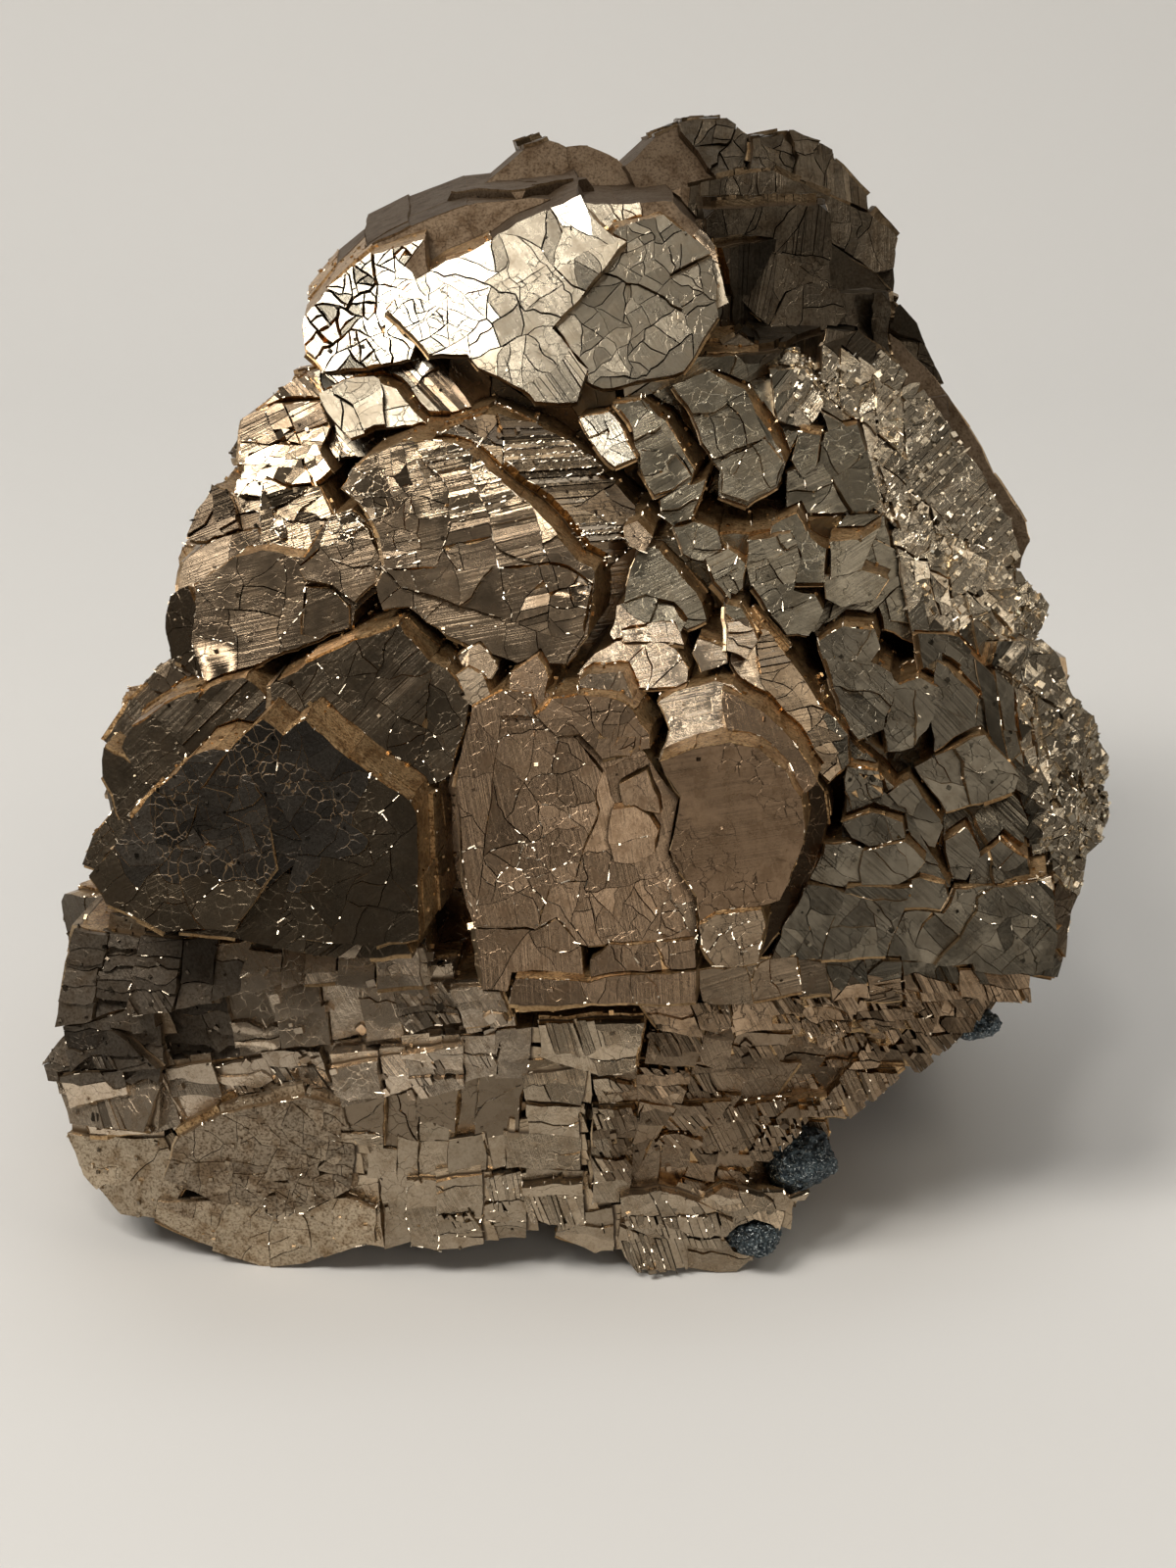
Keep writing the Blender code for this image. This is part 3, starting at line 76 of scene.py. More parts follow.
# How a kind of crystal face looks, in millimetres and degrees. Its tiles: how broad they are, their
# tilt, the step from terrace to terrace, and the gap (half the width) and the sink (the depth) of
# the cracks. Its metal: the tint and its spread, how rough it is, how strong its striations are
# (lines) and at what angle they run, and how gritty it is. How far pale crust fills its cracks.
# And its laths: how readily a terrace is lathed along the striations, and how broad a lath is.
Look = namedtuple(
    "Look", "tile tilt step gap sink tint spread rough lines angle grit crust lathed lath",
    defaults=(0.0, 0.0, 1.0))
LOOKS = {
    "plate": Look(
        tile=5.2, tilt=2.6, step=0.7, gap=0.1, sink=0.16, tint=(0.222, 0.171, 0.119), spread=0.2,
        rough=0.26, lines=0.5, angle=18, grit=0.15, lathed=0.05),
    "shards": Look(
        tile=2.5, tilt=10.0, step=0.8, gap=0.08, sink=0.2, tint=(0.403, 0.319, 0.224), spread=0.5,
        rough=0.18, lines=0.6, angle=18, grit=0.1, lathed=0.2, lath=0.8),
    "ledge": Look(
        tile=5.0, tilt=2.2, step=0.6, gap=0.09, sink=0.16, tint=(0.095, 0.075, 0.052), spread=0.25,
        rough=0.28, lines=0.7, angle=40, grit=0.4, crust=0.2, lathed=0.04),
    # Painted highlight: the lit parts of the crown and of one plate below it, painted much lighter
    # than the crown's mosaic.
    "painted_highlight": Look(
        tile=3.4, tilt=1.6, step=0.5, gap=0.16, sink=0.4, tint=(0.52, 0.49, 0.41), spread=0.1,
        rough=0.2, lines=0.2, angle=125, grit=0.1),
    # Painted shade: the mosaic look painted darker, on the middle of the crown and on a plate to
    # its lower left, where the lamps fall on them strongly.
    "painted_shade_mosaic": Look(
        tile=3.8, tilt=3.0, step=1.1, gap=0.12, sink=0.22, tint=(0.202, 0.18, 0.141), spread=0.24,
        rough=0.28, lines=0.3, angle=125, grit=0.2, lathed=0.06),
    "mosaic": Look(
        tile=3.8, tilt=3.2, step=1.1, gap=0.12, sink=0.22, tint=(0.336, 0.296, 0.228), spread=0.24,
        rough=0.3, lines=0.3, angle=125, grit=0.2, lathed=0.03),
    "chips": Look(
        tile=2.3, tilt=4.0, step=0.8, gap=0.6, sink=0.7, tint=(0.36, 0.329, 0.266), spread=0.2,
        rough=0.2, lines=0.2, angle=125, grit=0.1),
    "slab": Look(
        tile=14.0, tilt=0.8, step=0.3, gap=0.05, sink=0.05, tint=(0.13, 0.093, 0.06), spread=0.08,
        rough=0.6, lines=0.4, angle=8, grit=1.0, crust=0.2),
    "far_crown": Look(
        tile=4.0, tilt=6.0, step=1.0, gap=0.1, sink=0.2, tint=(0.073, 0.059, 0.042), spread=0.3,
        rough=0.34, lines=0.9, angle=84, grit=0.8, crust=0.1, lathed=0.1),
    "dark": Look(
        tile=4.2, tilt=2.5, step=0.35, gap=0.05, sink=0.05, tint=(0.036, 0.031, 0.025), spread=0.5,
        rough=0.26, lines=0.4, angle=30, grit=0.9, crust=1.0),
    "dark_rows": Look(
        tile=4.0, tilt=4.5, step=1.3, gap=0.1, sink=0.2, tint=(0.477, 0.392, 0.297), spread=0.4,
        rough=0.25, lines=0.7, angle=-60, grit=0.5, crust=0.3, lathed=0.15, lath=0.7),
    # Painted shade: the rows of the left end, much as the dark_rows look but painted far darker.
    "painted_shade_rows": Look(
        tile=3.0, tilt=4.5, step=1.4, gap=0.1, sink=0.2, tint=(0.128, 0.105, 0.08), spread=0.4,
        rough=0.42, lines=0.7, angle=-60, grit=0.9, crust=0.4, lathed=0.1, lath=0.7),
    "smooth": Look(
        tile=16.0, tilt=0.7, step=0.3, gap=0.06, sink=0.1, tint=(0.13, 0.09, 0.058), spread=0.05,
        rough=0.26, lines=0.5, angle=8, grit=0.2),
    "centre": Look(
        tile=4.8, tilt=2.0, step=0.6, gap=0.08, sink=0.2, tint=(0.3, 0.216, 0.145), spread=0.22,
        rough=0.26, lines=0.25, angle=100, grit=0.3),
    "glint": Look(
        tile=6.5, tilt=2.0, step=0.4, gap=0.09, sink=0.16, tint=(0.666, 0.549, 0.414), spread=0.1,
        rough=0.22, lines=1.2, angle=12, grit=0.2, lathed=0.4, lath=0.8),
    "blue": Look(
        tile=4.4, tilt=3.6, step=1.3, gap=0.08, sink=0.14, tint=(0.25, 0.224, 0.17), spread=0.24,
        rough=0.25, lines=0.7, angle=30, grit=0.2, crust=0.12, lathed=0.08),
    "rough": Look(
        tile=1.9, tilt=12.0, step=0.8, gap=0.08, sink=0.2, tint=(0.609, 0.536, 0.417), spread=0.35,
        rough=0.22, lines=0.5, angle=50, grit=0.6, crust=0.1, lathed=0.15, lath=0.9),
    "bricks": Look(
        tile=3.0, tilt=9.0, step=1.1, gap=0.09, sink=0.25, tint=(0.17, 0.13, 0.09), spread=0.4,
        rough=0.22, lines=0.6, angle=20, grit=0.2, lathed=0.35, lath=0.9),
    "split": Look(
        tile=3.3, tilt=5.5, step=1.2, gap=0.08, sink=0.2, tint=(0.228, 0.169, 0.114), spread=0.28,
        rough=0.24, lines=0.9, angle=-62, grit=0.3, lathed=0.5, lath=0.6),
    "tan": Look(
        tile=3.8, tilt=4.5, step=1.3, gap=0.09, sink=0.2, tint=(0.42, 0.34, 0.245), spread=0.22,
        rough=0.24, lines=0.8, angle=-72, grit=0.4, crust=0.1, lathed=0.12, lath=0.7),
    "foot": Look(
        tile=6.0, tilt=5.0, step=0.6, gap=0.06, sink=0.1, tint=(0.43, 0.35, 0.25), spread=0.25,
        rough=0.3, lines=0.4, angle=0, grit=1.2, crust=0.3),
    "worn": Look(
        tile=2.6, tilt=7.0, step=0.35, gap=0.06, sink=0.06, tint=(0.36, 0.285, 0.2), spread=0.25,
        rough=0.34, lines=0.2, angle=0, grit=1.6, crust=0.6),
    "slate": Look(
        tile=4.2, tilt=4.0, step=1.4, gap=0.06, sink=0.1, tint=(0.105, 0.093, 0.071), spread=0.3,
        rough=0.24, lines=0.8, angle=-40, grit=0.2, crust=0.25, lathed=0.15, lath=0.9),
    # Risers: pyrite's brassy colour, partly painted light too, as the sides of the plates are
    # painted lighter than their fronts.
    "riser": Look(
        tile=8.0, tilt=2.5, step=0.3, gap=0.06, sink=0.1, tint=(0.575, 0.385, 0.195), spread=0.2,
        rough=0.35, lines=1.0, angle=0, grit=2.0, crust=0.42, lathed=0.06, lath=1.2),
    "under": Look(
        tile=8.0, tilt=3.0, step=0.4, gap=0.08, sink=0.1, tint=(0.13, 0.09, 0.055), spread=0.25,
        rough=0.34, lines=0.4, angle=0, grit=0.8, crust=0.2, lath=1.2),
    "rear": Look(
        tile=13.0, tilt=2.6, step=0.8, gap=0.12, sink=0.2, tint=(0.4, 0.31, 0.21), spread=0.2,
        rough=0.3, lines=0.7, angle=25, grit=0.5, lathed=0.1, lath=2.2),
}

# Where each look lies on the stepped face: the first outline that holds a point names its look.
REGIONS = [
    # Painted highlight: the lit left part of the crown and a tile at its top.
    ("painted_highlight", [(-31, 62), (-29, 72), (-14, 77), (-12, 70), (-13, 60), (-26, 58)]),
    ("painted_highlight", [(-6, 78), (-5, 83), (1, 84), (1, 78)]),
    # Painted shade: the middle of the crown, painted darker than the mosaic right of it.
    ("painted_shade_mosaic", [(-13, 60), (-12, 70), (-14, 77), (-6, 82), (3.5, 82), (3.5, 77), (-4, 65),
              (-0.5, 54), (-9, 52)]),
    ("mosaic", [(-29, 67), (-25, 71), (-13, 77.5), (-1, 83.5), (11, 81), (19, 72), (19, 65),
                (10, 56.5), (-1, 53), (-9, 53), (-17, 60), (-25, 60)]),
    # Painted highlight: a lit plate below the crown.
    ("painted_highlight", [(-2, 45), (-2, 52), (5, 53), (7, 47), (3, 43)]),
    # Painted shade: a plate left of the crown.
    ("painted_shade_mosaic", [(-38, 50), (-37, 57), (-24, 58), (-21, 51), (-28, 49)]),
    ("shards", [(-52, 40), (-48, 50), (-28, 51), (-20, 50), (-8, 48), (-2, 42), (3, 33),
                (-5, 32), (-14, 38), (-28, 38), (-34, 33), (-44, 36)]),
    ("chips", [(-42, 57), (-42, 66), (-32, 76.5), (-24, 78), (-23, 60), (-31, 57)]),
    ("slab", [(-34, 76), (-24, 88), (10, 93), (16, 79), (10, 80.5), (-1, 82.5), (-13, 76.5),
              (-25, 70)]),
    ("far_crown", [(-18, 84), (-8, 95), (4, 97), (30, 97), (48, 80), (50, 56), (36, 62),
                   (20, 60), (19, 78), (10, 82)]),
    ("dark", [(-66, -5), (-58, 4), (-46, 11), (-38, 10), (-30, 2), (-33, -8), (-37, -13),
              (-50, -15), (-64, -13)]),
    ("ledge", [(-74, -17), (-70, 8), (-54, 16), (-26, 24), (-17, 16), (-15, 8), (-22, -3),
               (-24, -24), (-50, -22.5), (-70, -19)]),
    ("worn", [(-60, -60), (-59, -50), (-45, -42.5), (-34, -44.5), (-33, -57), (-45, -61)]),
    ("foot", [(-78, -51), (-59, -50), (-58, -60), (-45, -61.5), (-33, -58), (-30, -72),
              (-78, -72)]),
    ("tan", [(-76, -50), (-58, -49), (-34, -44), (-34, -49), (-10, -48), (-10, -33), (9, -32.5),
             (4, -41), (2, -56), (22, -58), (32, -56), (24, -72), (-50, -72), (-72, -60)]),
    # Painted shade: the rows of the left end.
    ("painted_shade_rows", [(-80, -16), (-70, -19), (-52, -21), (-48, -30), (-52, -38), (-62, -42),
                  (-80, -42)]),
    ("dark_rows", [(-78, -18), (-70, -19), (-50, -22), (-24, -24), (-12, -31), (-10, -41),
                   (-34, -45), (-45, -43), (-60, -49), (-78, -50)]),
    ("smooth", [(10, 4), (20, 7), (28, 5), (34, -2), (30, -14), (26, -18), (15.5, -16.5),
                (12, -11), (13, -2)]),
    ("centre", [(-24, 2), (-16, 14), (-6, 15), (8, 13), (13, 2), (13, -12), (15.5, -32),
                (-16, -32), (-24, -28)]),
    ("blue", [(4, 23), (8, 36), (13, 34), (17, 27), (19, 22)]),
    ("centre", [(21, 12), (27, 11), (33, 2), (34, -3), (30, 4), (22, 6.5)]),
    ("glint", [(-2, 16), (2, 20), (2, 27), (8, 35), (13, 33), (17, 26), (24, 20), (27, 9),
               (22, 5), (10, 2.5), (10, 13), (4, 15)]),
    ("bricks", [(-60, 20), (-60, 50), (-50, 54), (-26, 62), (-8, 51), (7, 37), (2, 31), (-12, 42),
                (-20, 48.5), (-34, 45), (-37, 38), (-47, 34), (-57, 30)]),
    ("slab", [(37, 63), (36, 68), (48, 64), (66, 38), (59, 37), (48, 55)]),
    ("rough", [(26, 60), (30, 63), (38, 62), (48, 56), (60, 38), (65, 24), (72, 8), (74, -4),
               (68, -16), (64, -14), (62, 6), (57, 20), (46, 24), (42, 36), (38, 52), (30, 50)]),
    ("blue", [(-2, 54), (12, 59), (26, 64), (38, 66), (42, 37), (46, 24), (40, 20), (30, 19),
              (18, 25), (6, 38)]),
    ("slate", [(30, 22), (48, 24), (62, 18), (66, -28), (26, -27), (30, -14), (36, 0)]),
    ("split", [(-1, -41), (9, -30.5), (66, -25), (62, -36), (38, -50), (34, -57), (2, -58)]),
    ("plate", [(-90, 110), (90, 110), (90, -90), (-90, -90)]),
]

# The side faces of these look as their fronts do.
NO_RISERS = ("slab", "dark_rows", "painted_shade_rows", "tan", "worn", "foot", "far_crown", "rear", "rough")

# How far a facet has to be turned towards the front to count as a plate and not a riser, as part
# of the stepped face and not of the sides and back, and as part of its rough corner. The last
# goes for the edges that are nicked too.
PLATE_FACING = 0.62
REAR_FACING = 0.02
ROUGH_FACING = 0.3
UNDER_FACING = -0.5  # a facet behind that looks down more than this is an underside
BASE_FACING = -0.98  # the flat base looks straight down
BASE_HEIGHT = 0.05

MERGED = 0.002  # corners of the solids nearer than this are one
FLAT = math.radians(0.5)  # and triangles that differ less than this are one facet

# The striations stray by so many degrees from facet to facet, and on risers by so many radians
# from the layers of plates. A direction that lies in a facet by less than a share isn't used.
GRAIN_STRAY = 4
LAYER_STRAY = 0.04
LEAST_IN_FACET = 0.3

# How cracks run: at these angles to the striations, but not along their cell, and in rows level
# or leaning, so that the blocks are up to so many times longer than high.
LATTICE = [math.radians(angle) for angle in (0, 60, 90, 120)]
LATTICE_STRAY = 0.13
LENGTHWISE = 0.8  # the sine past which a crack would run along its cell
ROWS = ("split", "tan", "dark_rows", "painted_shade_rows")
ROW_STRAY = 0.07
ROW_STRETCH = 2.2
ROW_LEAN = math.radians(62)

# How far from its middle a cell splits, how far the crack wanders from straight, how that fades
# at each halving and where a halving falls, all as shares of a length, and how long the jogs of
# a crack are. One that would end near a corner runs into it, and laths part along straight lines.
CRACK_OFFSET = 0.12
CRACK_SWING = 0.075
SWING_FADE = 0.55
SWING_PLACE = (0.4, 0.6)
JOG = 1.3
COARSE_JOG = 3.6  # of the cracks of risers and of the back
LATH_JOG = 50.0
LEAST_JOG = 1.5  # a crack shorter than this many jogs is straight
NEAR = 0.3

# The area at which a cell is left whole and the breadth at which a lath is, as shares of those
# of its look, and the drifts in which tiles grow finer and coarser.
WHOLE_CELL = (0.6, 1.3)
WHOLE_LATH = (1.2, 2.4)
TILE_SPREAD = (0.5, 1.7)
DRIFT = 15.0
DRIFT_SWING = 0.9

# The first cracks of a facet part terraces, with lower steps at each crack, and the later ones
# only tiles, which stand a little apart. Some of the early cells are lathed from then on.
TERRACE_DEPTH = 3
TERRACE_CHANCE = 0.55
TERRACE_RISE = (0.5, 1.0)
TERRACE_FADE = 0.7
TILE_RISE = 0.06
LATH_DEPTHS = (1, 2, 3)
LATH_RISE = 0.25
LATH_TILT = 9.0
TILT_SPREAD = 0.6
SHINGLE = 12.0  # the blocks of a row stand out at their lower edges, by so many degrees
SHINGLE_SPREAD = (0.3, 1.6)
FACET_SHADE = 0.6  # how far facets and tiles differ in lightness, as shares of a look's spread
TILE_SHADE = 0.5

NICK = 1.7  # how long and deep the nicks in the edges of facets are, and the most on one edge
NICK_DEPTH = 0.24
NICK_SPREAD = (0.75, 1.25)
MOST_NICKS = 12

GAPS = (0.35, 0.5, 0.8, 1.1)  # shares of a look's gap: some cracks are only hairlines
WIDEST_GAP = 0.55  # for a narrow tile, as a share of its area to its rim
LEAST_BREADTH = 0.16  # a tile with less area to its rim than this is left flat
RIM_GOLD = 0.7  # how far the sides of tiles take the colour of risers, with its painted light
DULL_RIM_GOLD = 0.15  # the same where a facet's risers look as its plates
SEED = 7
SEEDS_APART = 1000  # each facet has its own run of chance


def seen_at(point):
    """The face point at which a point, in metres, is sighted."""
    ray = point / MM - EYE
    reach = -ray.dot(OUT)
    return ray.dot(ACROSS) * SIGHT / reach, ray.dot(UP) * SIGHT / reach


def holds(outline, across, up):
    """Whether an outline holds a face point."""
    held = False
    for (a0, u0), (a1, u1) in zip(outline, outline[1:] + outline[:1]):
        if (u0 > up) != (u1 > up) and across < a0 + (up - u0) * (a1 - a0) / (u1 - u0):
            held = not held
    return held


def look_of(face):
    """The look of a facet, from the way it faces and its place on the stepped face."""
    facing = face.normal.dot(OUT)
    if facing < REAR_FACING:
        return "under" if face.normal.z < UNDER_FACING else "rear"
    across, up = seen_at(face.calc_center_median())
    name = next((name for name, outline in REGIONS if holds(outline, across, up)), "rear")
    if facing < PLATE_FACING and name not in NO_RISERS:
        return "riser"
    if facing < ROUGH_FACING and name == "rough":
        return "rear"
    return name


def only(obj):
    """Leaves one object selected and active."""
    bpy.ops.object.select_all(action="DESELECT")
    obj.select_set(True)
    bpy.context.view_layer.objects.active = obj


def facets_of(node, name):
    """A copy of a CAD node whose loose triangles are merged into its flat facets."""
    piece = bpy.data.objects.new(name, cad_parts[node].data.copy())
    bpy.context.scene.collection.objects.link(piece)
    only(piece)
    bpy.ops.object.mode_set(mode="EDIT")
    bpy.ops.mesh.select_all(action="SELECT")
    bpy.ops.mesh.remove_doubles(threshold=MERGED * MM)
    bpy.ops.mesh.dissolve_limited(angle_limit=FLAT)
    bpy.ops.object.mode_set(mode="OBJECT")
    piece.data.materials.clear()
    return piece


def striation(normal, angle):
    """The direction in a facet at an angle, in degrees, to its across direction."""
    base = ACROSS - normal * ACROSS.dot(normal)
    if base.length < LEAST_IN_FACET:
        base = UP - normal * UP.dot(normal)
    return Matrix.Rotation(math.radians(angle), 3, normal) @ base.normalized()


def crack_normal(face, grain, in_rows, rng):
    """Which way the next crack of a cell faces. In rows the crack is level, or leans where the
    cell is long and low. Elsewhere it is on the lattice, and crosses the cell's long way."""
    side = face.normal.cross(grain)
    spots = np.array([(vert.co.dot(grain), vert.co.dot(side)) for vert in face.verts])
    if in_rows:
        rise = UP - face.normal * UP.dot(face.normal)
        level = math.atan2(rise.dot(side), rise.dot(grain))
        height = np.ptp(spots @ (math.cos(level), math.sin(level)))
        width = np.ptp(spots @ (math.sin(level), -math.cos(level)))
        angle = level if height * ROW_STRETCH > width else level - ROW_LEAN
        angle += rng.gauss(0, ROW_STRAY)
    else:
        _, _, axes = np.linalg.svd(spots - spots.mean(axis=0), full_matrices=False)
        long_way = math.atan2(axes[0][1], axes[0][0])
        tries = [angle for angle in LATTICE if abs(math.sin(angle - long_way)) < LENGTHWISE]
        angle = rng.choice(tries or LATTICE) + rng.gauss(0, LATTICE_STRAY)
    return grain * math.cos(angle) + side * math.sin(angle)


def crossing(edge, point, direction):
    """The vertex where an edge crosses a plane: one of its ends, if that lies close by."""
    first, last = edge.verts
    before = (first.co - point).dot(direction)
    after = (last.co - point).dot(direction)
    if (before < 0) == (after < 0):
        return None
    share = before / (before - after)
    length = edge.calc_length()
    if share * length < NEAR * MM:
        return first
    if (1 - share) * length < NEAR * MM:
        return last
    return bmesh.utils.edge_split(edge, first, share)[1]


def jagged(face, start, end, jog, rng):
    """The corners of a crack that wanders between two vertices, swinging less at each halving."""
    spots = [start.co.copy(), end.co.copy()]
    side = face.normal.cross(spots[1] - spots[0])
    swing = CRACK_SWING
    while (spots[1] - spots[0]).length > LEAST_JOG * jog * MM:
        between = []
        for first, second in zip(spots, spots[1:]):
            middle = first.lerp(second, rng.uniform(*SWING_PLACE)) + side * rng.gauss(0, swing)
            between += [first, middle if inside_face(face, middle) else first.lerp(second, 0.5)]
        spots = between + [spots[-1]]
        swing *= SWING_FADE
    return spots[1:-1]


def split(face, point, direction, jog, rng):
    """Cuts a face along a crack that wanders about a plane, and returns its parts."""
    ends = {crossing(edge, point, direction) for edge in list(face.edges)} - {None}
    along = face.normal.cross(direction)
    ends = sorted(ends, key=lambda vert: vert.co.dot(along))
    parts = [face]
    for start, end in zip(ends, ends[1:]):
        middle = (start.co + end.co) / 2
        for part in parts:
            apart = start in part.verts and end in part.verts
            if apart and not edge_between(start, end) and inside_face(part, middle):
                path = jagged(part, start, end, jog, rng)
                made, _ = bmesh.utils.face_split(part, start, end, coords=path)
                parts.append(made)
                break
    return parts


def edge_between(start, end):
    """The edge between two vertices, if there is one."""
    return next((edge for edge in start.link_edges if end in edge.verts), None)


def inside_face(face, point):
    """Whether a point in a face's plane lies within its rim."""
    across = face.normal.orthogonal().normalized()
    up = face.normal.cross(across)
    return holds([(v.co.dot(across), v.co.dot(up)) for v in face.verts],
                 point.dot(across), point.dot(up))


# A piece of a crystal face between cracks: its look and that look's name, the way its striations
# run, its height over the face in millimetres, its slope and how light it is.
Tile = namedtuple("Tile", "name look grain height slope shade")
BARE = Tile("worn", LOOKS["worn"], ACROSS, 0.0, Vector(), 0.8)  # the base, which isn't cracked


def grain_of(facet, name, look, rng):
    """The way a facet's striations run: along the plates on a riser, else at its look's angle."""
    layers = facet.normal.cross(OUT)
    if name == "riser" and layers.length > LEAST_IN_FACET:
        return Matrix.Rotation(rng.gauss(0, LAYER_STRAY), 3, facet.normal) @ layers.normalized()
    return striation(facet.normal, look.angle + rng.gauss(0, GRAIN_STRAY))


def tile_breadth(look, middle):
    """How broad the tiles are about here: they are finer and coarser in drifts."""
    drift = 0.5 + DRIFT_SWING * noise.noise(middle / MM / DRIFT)
    return look.tile * (TILE_SPREAD[0] + (TILE_SPREAD[1] - TILE_SPREAD[0]) * drift) * MM


def crack_cell(face, name, grain, lathed, rng):
    """Cracks a cell of a face once, along its striations if it is lathed. Returns its parts, of
    which there is one if it is small enough already."""
    look = LOOKS[name]
    middle = face.calc_center_median()
    jog = COARSE_JOG if name in ("rear", "riser") else JOG
    if lathed:
        direction = face.normal.cross(grain)
        jog = LATH_JOG
    else:
        if face.calc_area() < tile_breadth(look, middle) ** 2 * rng.uniform(*WHOLE_CELL):
            return [face]
        direction = crack_normal(face, grain, name in ROWS, rng)
    reach = [vert.co.dot(direction) for vert in face.verts]
    width = max(reach) - min(reach)
    if lathed and width < look.lath * rng.uniform(*WHOLE_LATH) * MM:
        return [face]
    spot = middle + direction * width * rng.gauss(0, CRACK_OFFSET)
    return split(face, spot, direction, jog, rng)


def nick_edges(bm, rng):
    """Breaks the long edges between facets on the stepped face into short, uneven nicks."""
    for edge in list(bm.edges):
        faces = edge.link_faces
        nicks = min(MOST_NICKS, round(edge.calc_length() / MM / NICK))
        if nicks < 2 or max(face.normal.dot(OUT) for face in faces) < ROUGH_FACING:
            continue
        start, end = edge.verts
        if min(start.co.z, end.co.z) < NICK * MM:
            continue
        plate = max(faces, key=lambda face: face.normal.dot(OUT))
        side = plate.normal.cross(end.co - start.co).normalized()
        for index in range(nicks - 1):
            share = rng.uniform(*NICK_SPREAD) / (nicks - index)
            _, vert = bmesh.utils.edge_split(edge, start, share)
            vert.co += side * rng.uniform(-NICK_DEPTH, NICK_DEPTH) * MM
            start = vert
            edge = edge_between(vert, end)


def slope_of(name, grain, side, lathed, rng):
    """How a tile tilts: laths about their length, others any way, and rows like shingles too."""
    turn = math.pi / 2 if lathed else rng.uniform(0, math.tau)
    tilt = math.radians(LATH_TILT if lathed else LOOKS[name].tilt) * rng.gauss(0, TILT_SPREAD)
    slope = (grain * math.cos(turn) + side * math.sin(turn)) * math.tan(tilt)
    if name in ROWS:
        slope -= UP * math.tan(math.radians(SHINGLE) * rng.uniform(*SHINGLE_SPREAD))
    return slope


def crack(bm):
    """Cuts the facets into tiles along cracks that end on one another. Returns the tiles and the
    layer that says which tile a face is."""
    tile_layer = bm.faces.layers.int.new("tile")
    tiles = [None]
    for index, facet in enumerate(list(bm.faces)):
        rng = random.Random(SEED * SEEDS_APART + index)
        is_base = facet.normal.z < BASE_FACING
        if is_base and facet.calc_center_median().z < BASE_HEIGHT * MM:
            continue
        name = look_of(facet)
        grain = grain_of(facet, name, LOOKS[name], rng)
        side = facet.normal.cross(grain)
        shade = 1 + LOOKS[name].spread * rng.uniform(-FACET_SHADE, FACET_SHADE)
        waiting = [(facet, 0.0, 0, False)]
        while waiting:
            face, height, depth, lathed = waiting.pop()
            name = look_of(face)
            look = LOOKS[name]
            parts = crack_cell(face, name, grain, lathed, rng)
            if len(parts) > 1:
                for part in parts:
                    rise = rng.uniform(0, LATH_RISE if lathed else TILE_RISE)
                    if depth < TERRACE_DEPTH and rng.random() < TERRACE_CHANCE:
                        rise += look.step * rng.uniform(*TERRACE_RISE) * TERRACE_FADE ** depth
                    turns = lathed or depth in LATH_DEPTHS and rng.random() < look.lathed
                    waiting.append((part, height + rise, depth + 1, turns))
                continue
            slope = slope_of(name, grain, side, lathed, rng)
            lightness = shade * (1 + look.spread * rng.gauss(0, TILE_SHADE))
            face[tile_layer] = len(tiles)
            tiles.append(Tile(name, look, grain, height, slope, lightness))
    return tiles, tile_layer


def lift_tiles(bm, tiles, tile_layer, rng):
    """Sets each tile in from its cracks, raises and tilts it, and sinks the cracks. Returns the
    vertices of the tiles' own faces."""
    by_gap = defaultdict(list)
    for face in bm.faces:
        breadth = face.calc_area() / sum(edge.calc_length() for edge in face.edges) / MM
        if face[tile_layer] and breadth > LEAST_BREADTH:
            gap = tiles[face[tile_layer]].look.gap * rng.choice(GAPS)
            by_gap[round(min(gap, breadth * WIDEST_GAP), 2)].append(face)
    network = {vert: vert.normal.copy() for vert in bm.verts}
    for gap, faces in by_gap.items():
        bmesh.ops.inset_individual(bm, faces=faces, thickness=gap * MM, depth=0)
    raised = set()
    for face in [face for faces in by_gap.values() for face in faces]:
        tile = tiles[face[tile_layer]]
        normal = face.normal.copy()
        middle = face.calc_center_median()
        raised |= set(face.verts)
        for vert in face.verts:
            vert.co += normal * (tile.height * MM + (vert.co - middle).dot(tile.slope))
    for vert, normal in network.items():
        sinks = [tiles[face[tile_layer]].look.sink for face in vert.link_faces
                 if face[tile_layer]]
        if len(sinks) == len(vert.link_faces):
            vert.co -= normal * min(sinks) * MM
    for vert in bm.verts:
        vert.co.z = max(vert.co.z, 0.0)
    return raised


def paint(mesh, tiles, raised):
    """Gives each face its tile's colour, finish and grain, and marks the cracks. Returns the
    tile of each face."""
    owners = [tiles[item.value] or BARE for item in mesh.attributes["tile"].data]
    tints, finishes, grains, cracks = [], [], [], []
    for tile, face in zip(owners, mesh.polygons):
        at_rim = [vert not in raised for vert in face.vertices]
        tint = Vector(tile.look.tint)
        # The sides of tiles take on the risers' colour and its painted light.
        if any(at_rim):
            gold = DULL_RIM_GOLD if tile.name in NO_RISERS else RIM_GOLD
            tint = tint.lerp(Vector(LOOKS["riser"].tint), gold)
        tints += list(tint * tile.shade) + [tile.look.grit]
        finishes += [tile.look.rough, tile.look.lines, tile.look.crust]
        grains += list(face.normal.cross(tile.grain))
        cracks += [float(rim and not all(at_rim)) for rim in at_rim]
    for name, kind, domain, field, values in (
            ("tint", "FLOAT_COLOR", "FACE", "color", tints),
            ("finish", "FLOAT_VECTOR", "FACE", "vector", finishes),
            ("grain", "FLOAT_VECTOR", "FACE", "vector", grains),
            ("crack", "FLOAT", "CORNER", "value", cracks)):
        mesh.attributes.new(name, kind, domain).data.foreach_set(field, values)
    return owners


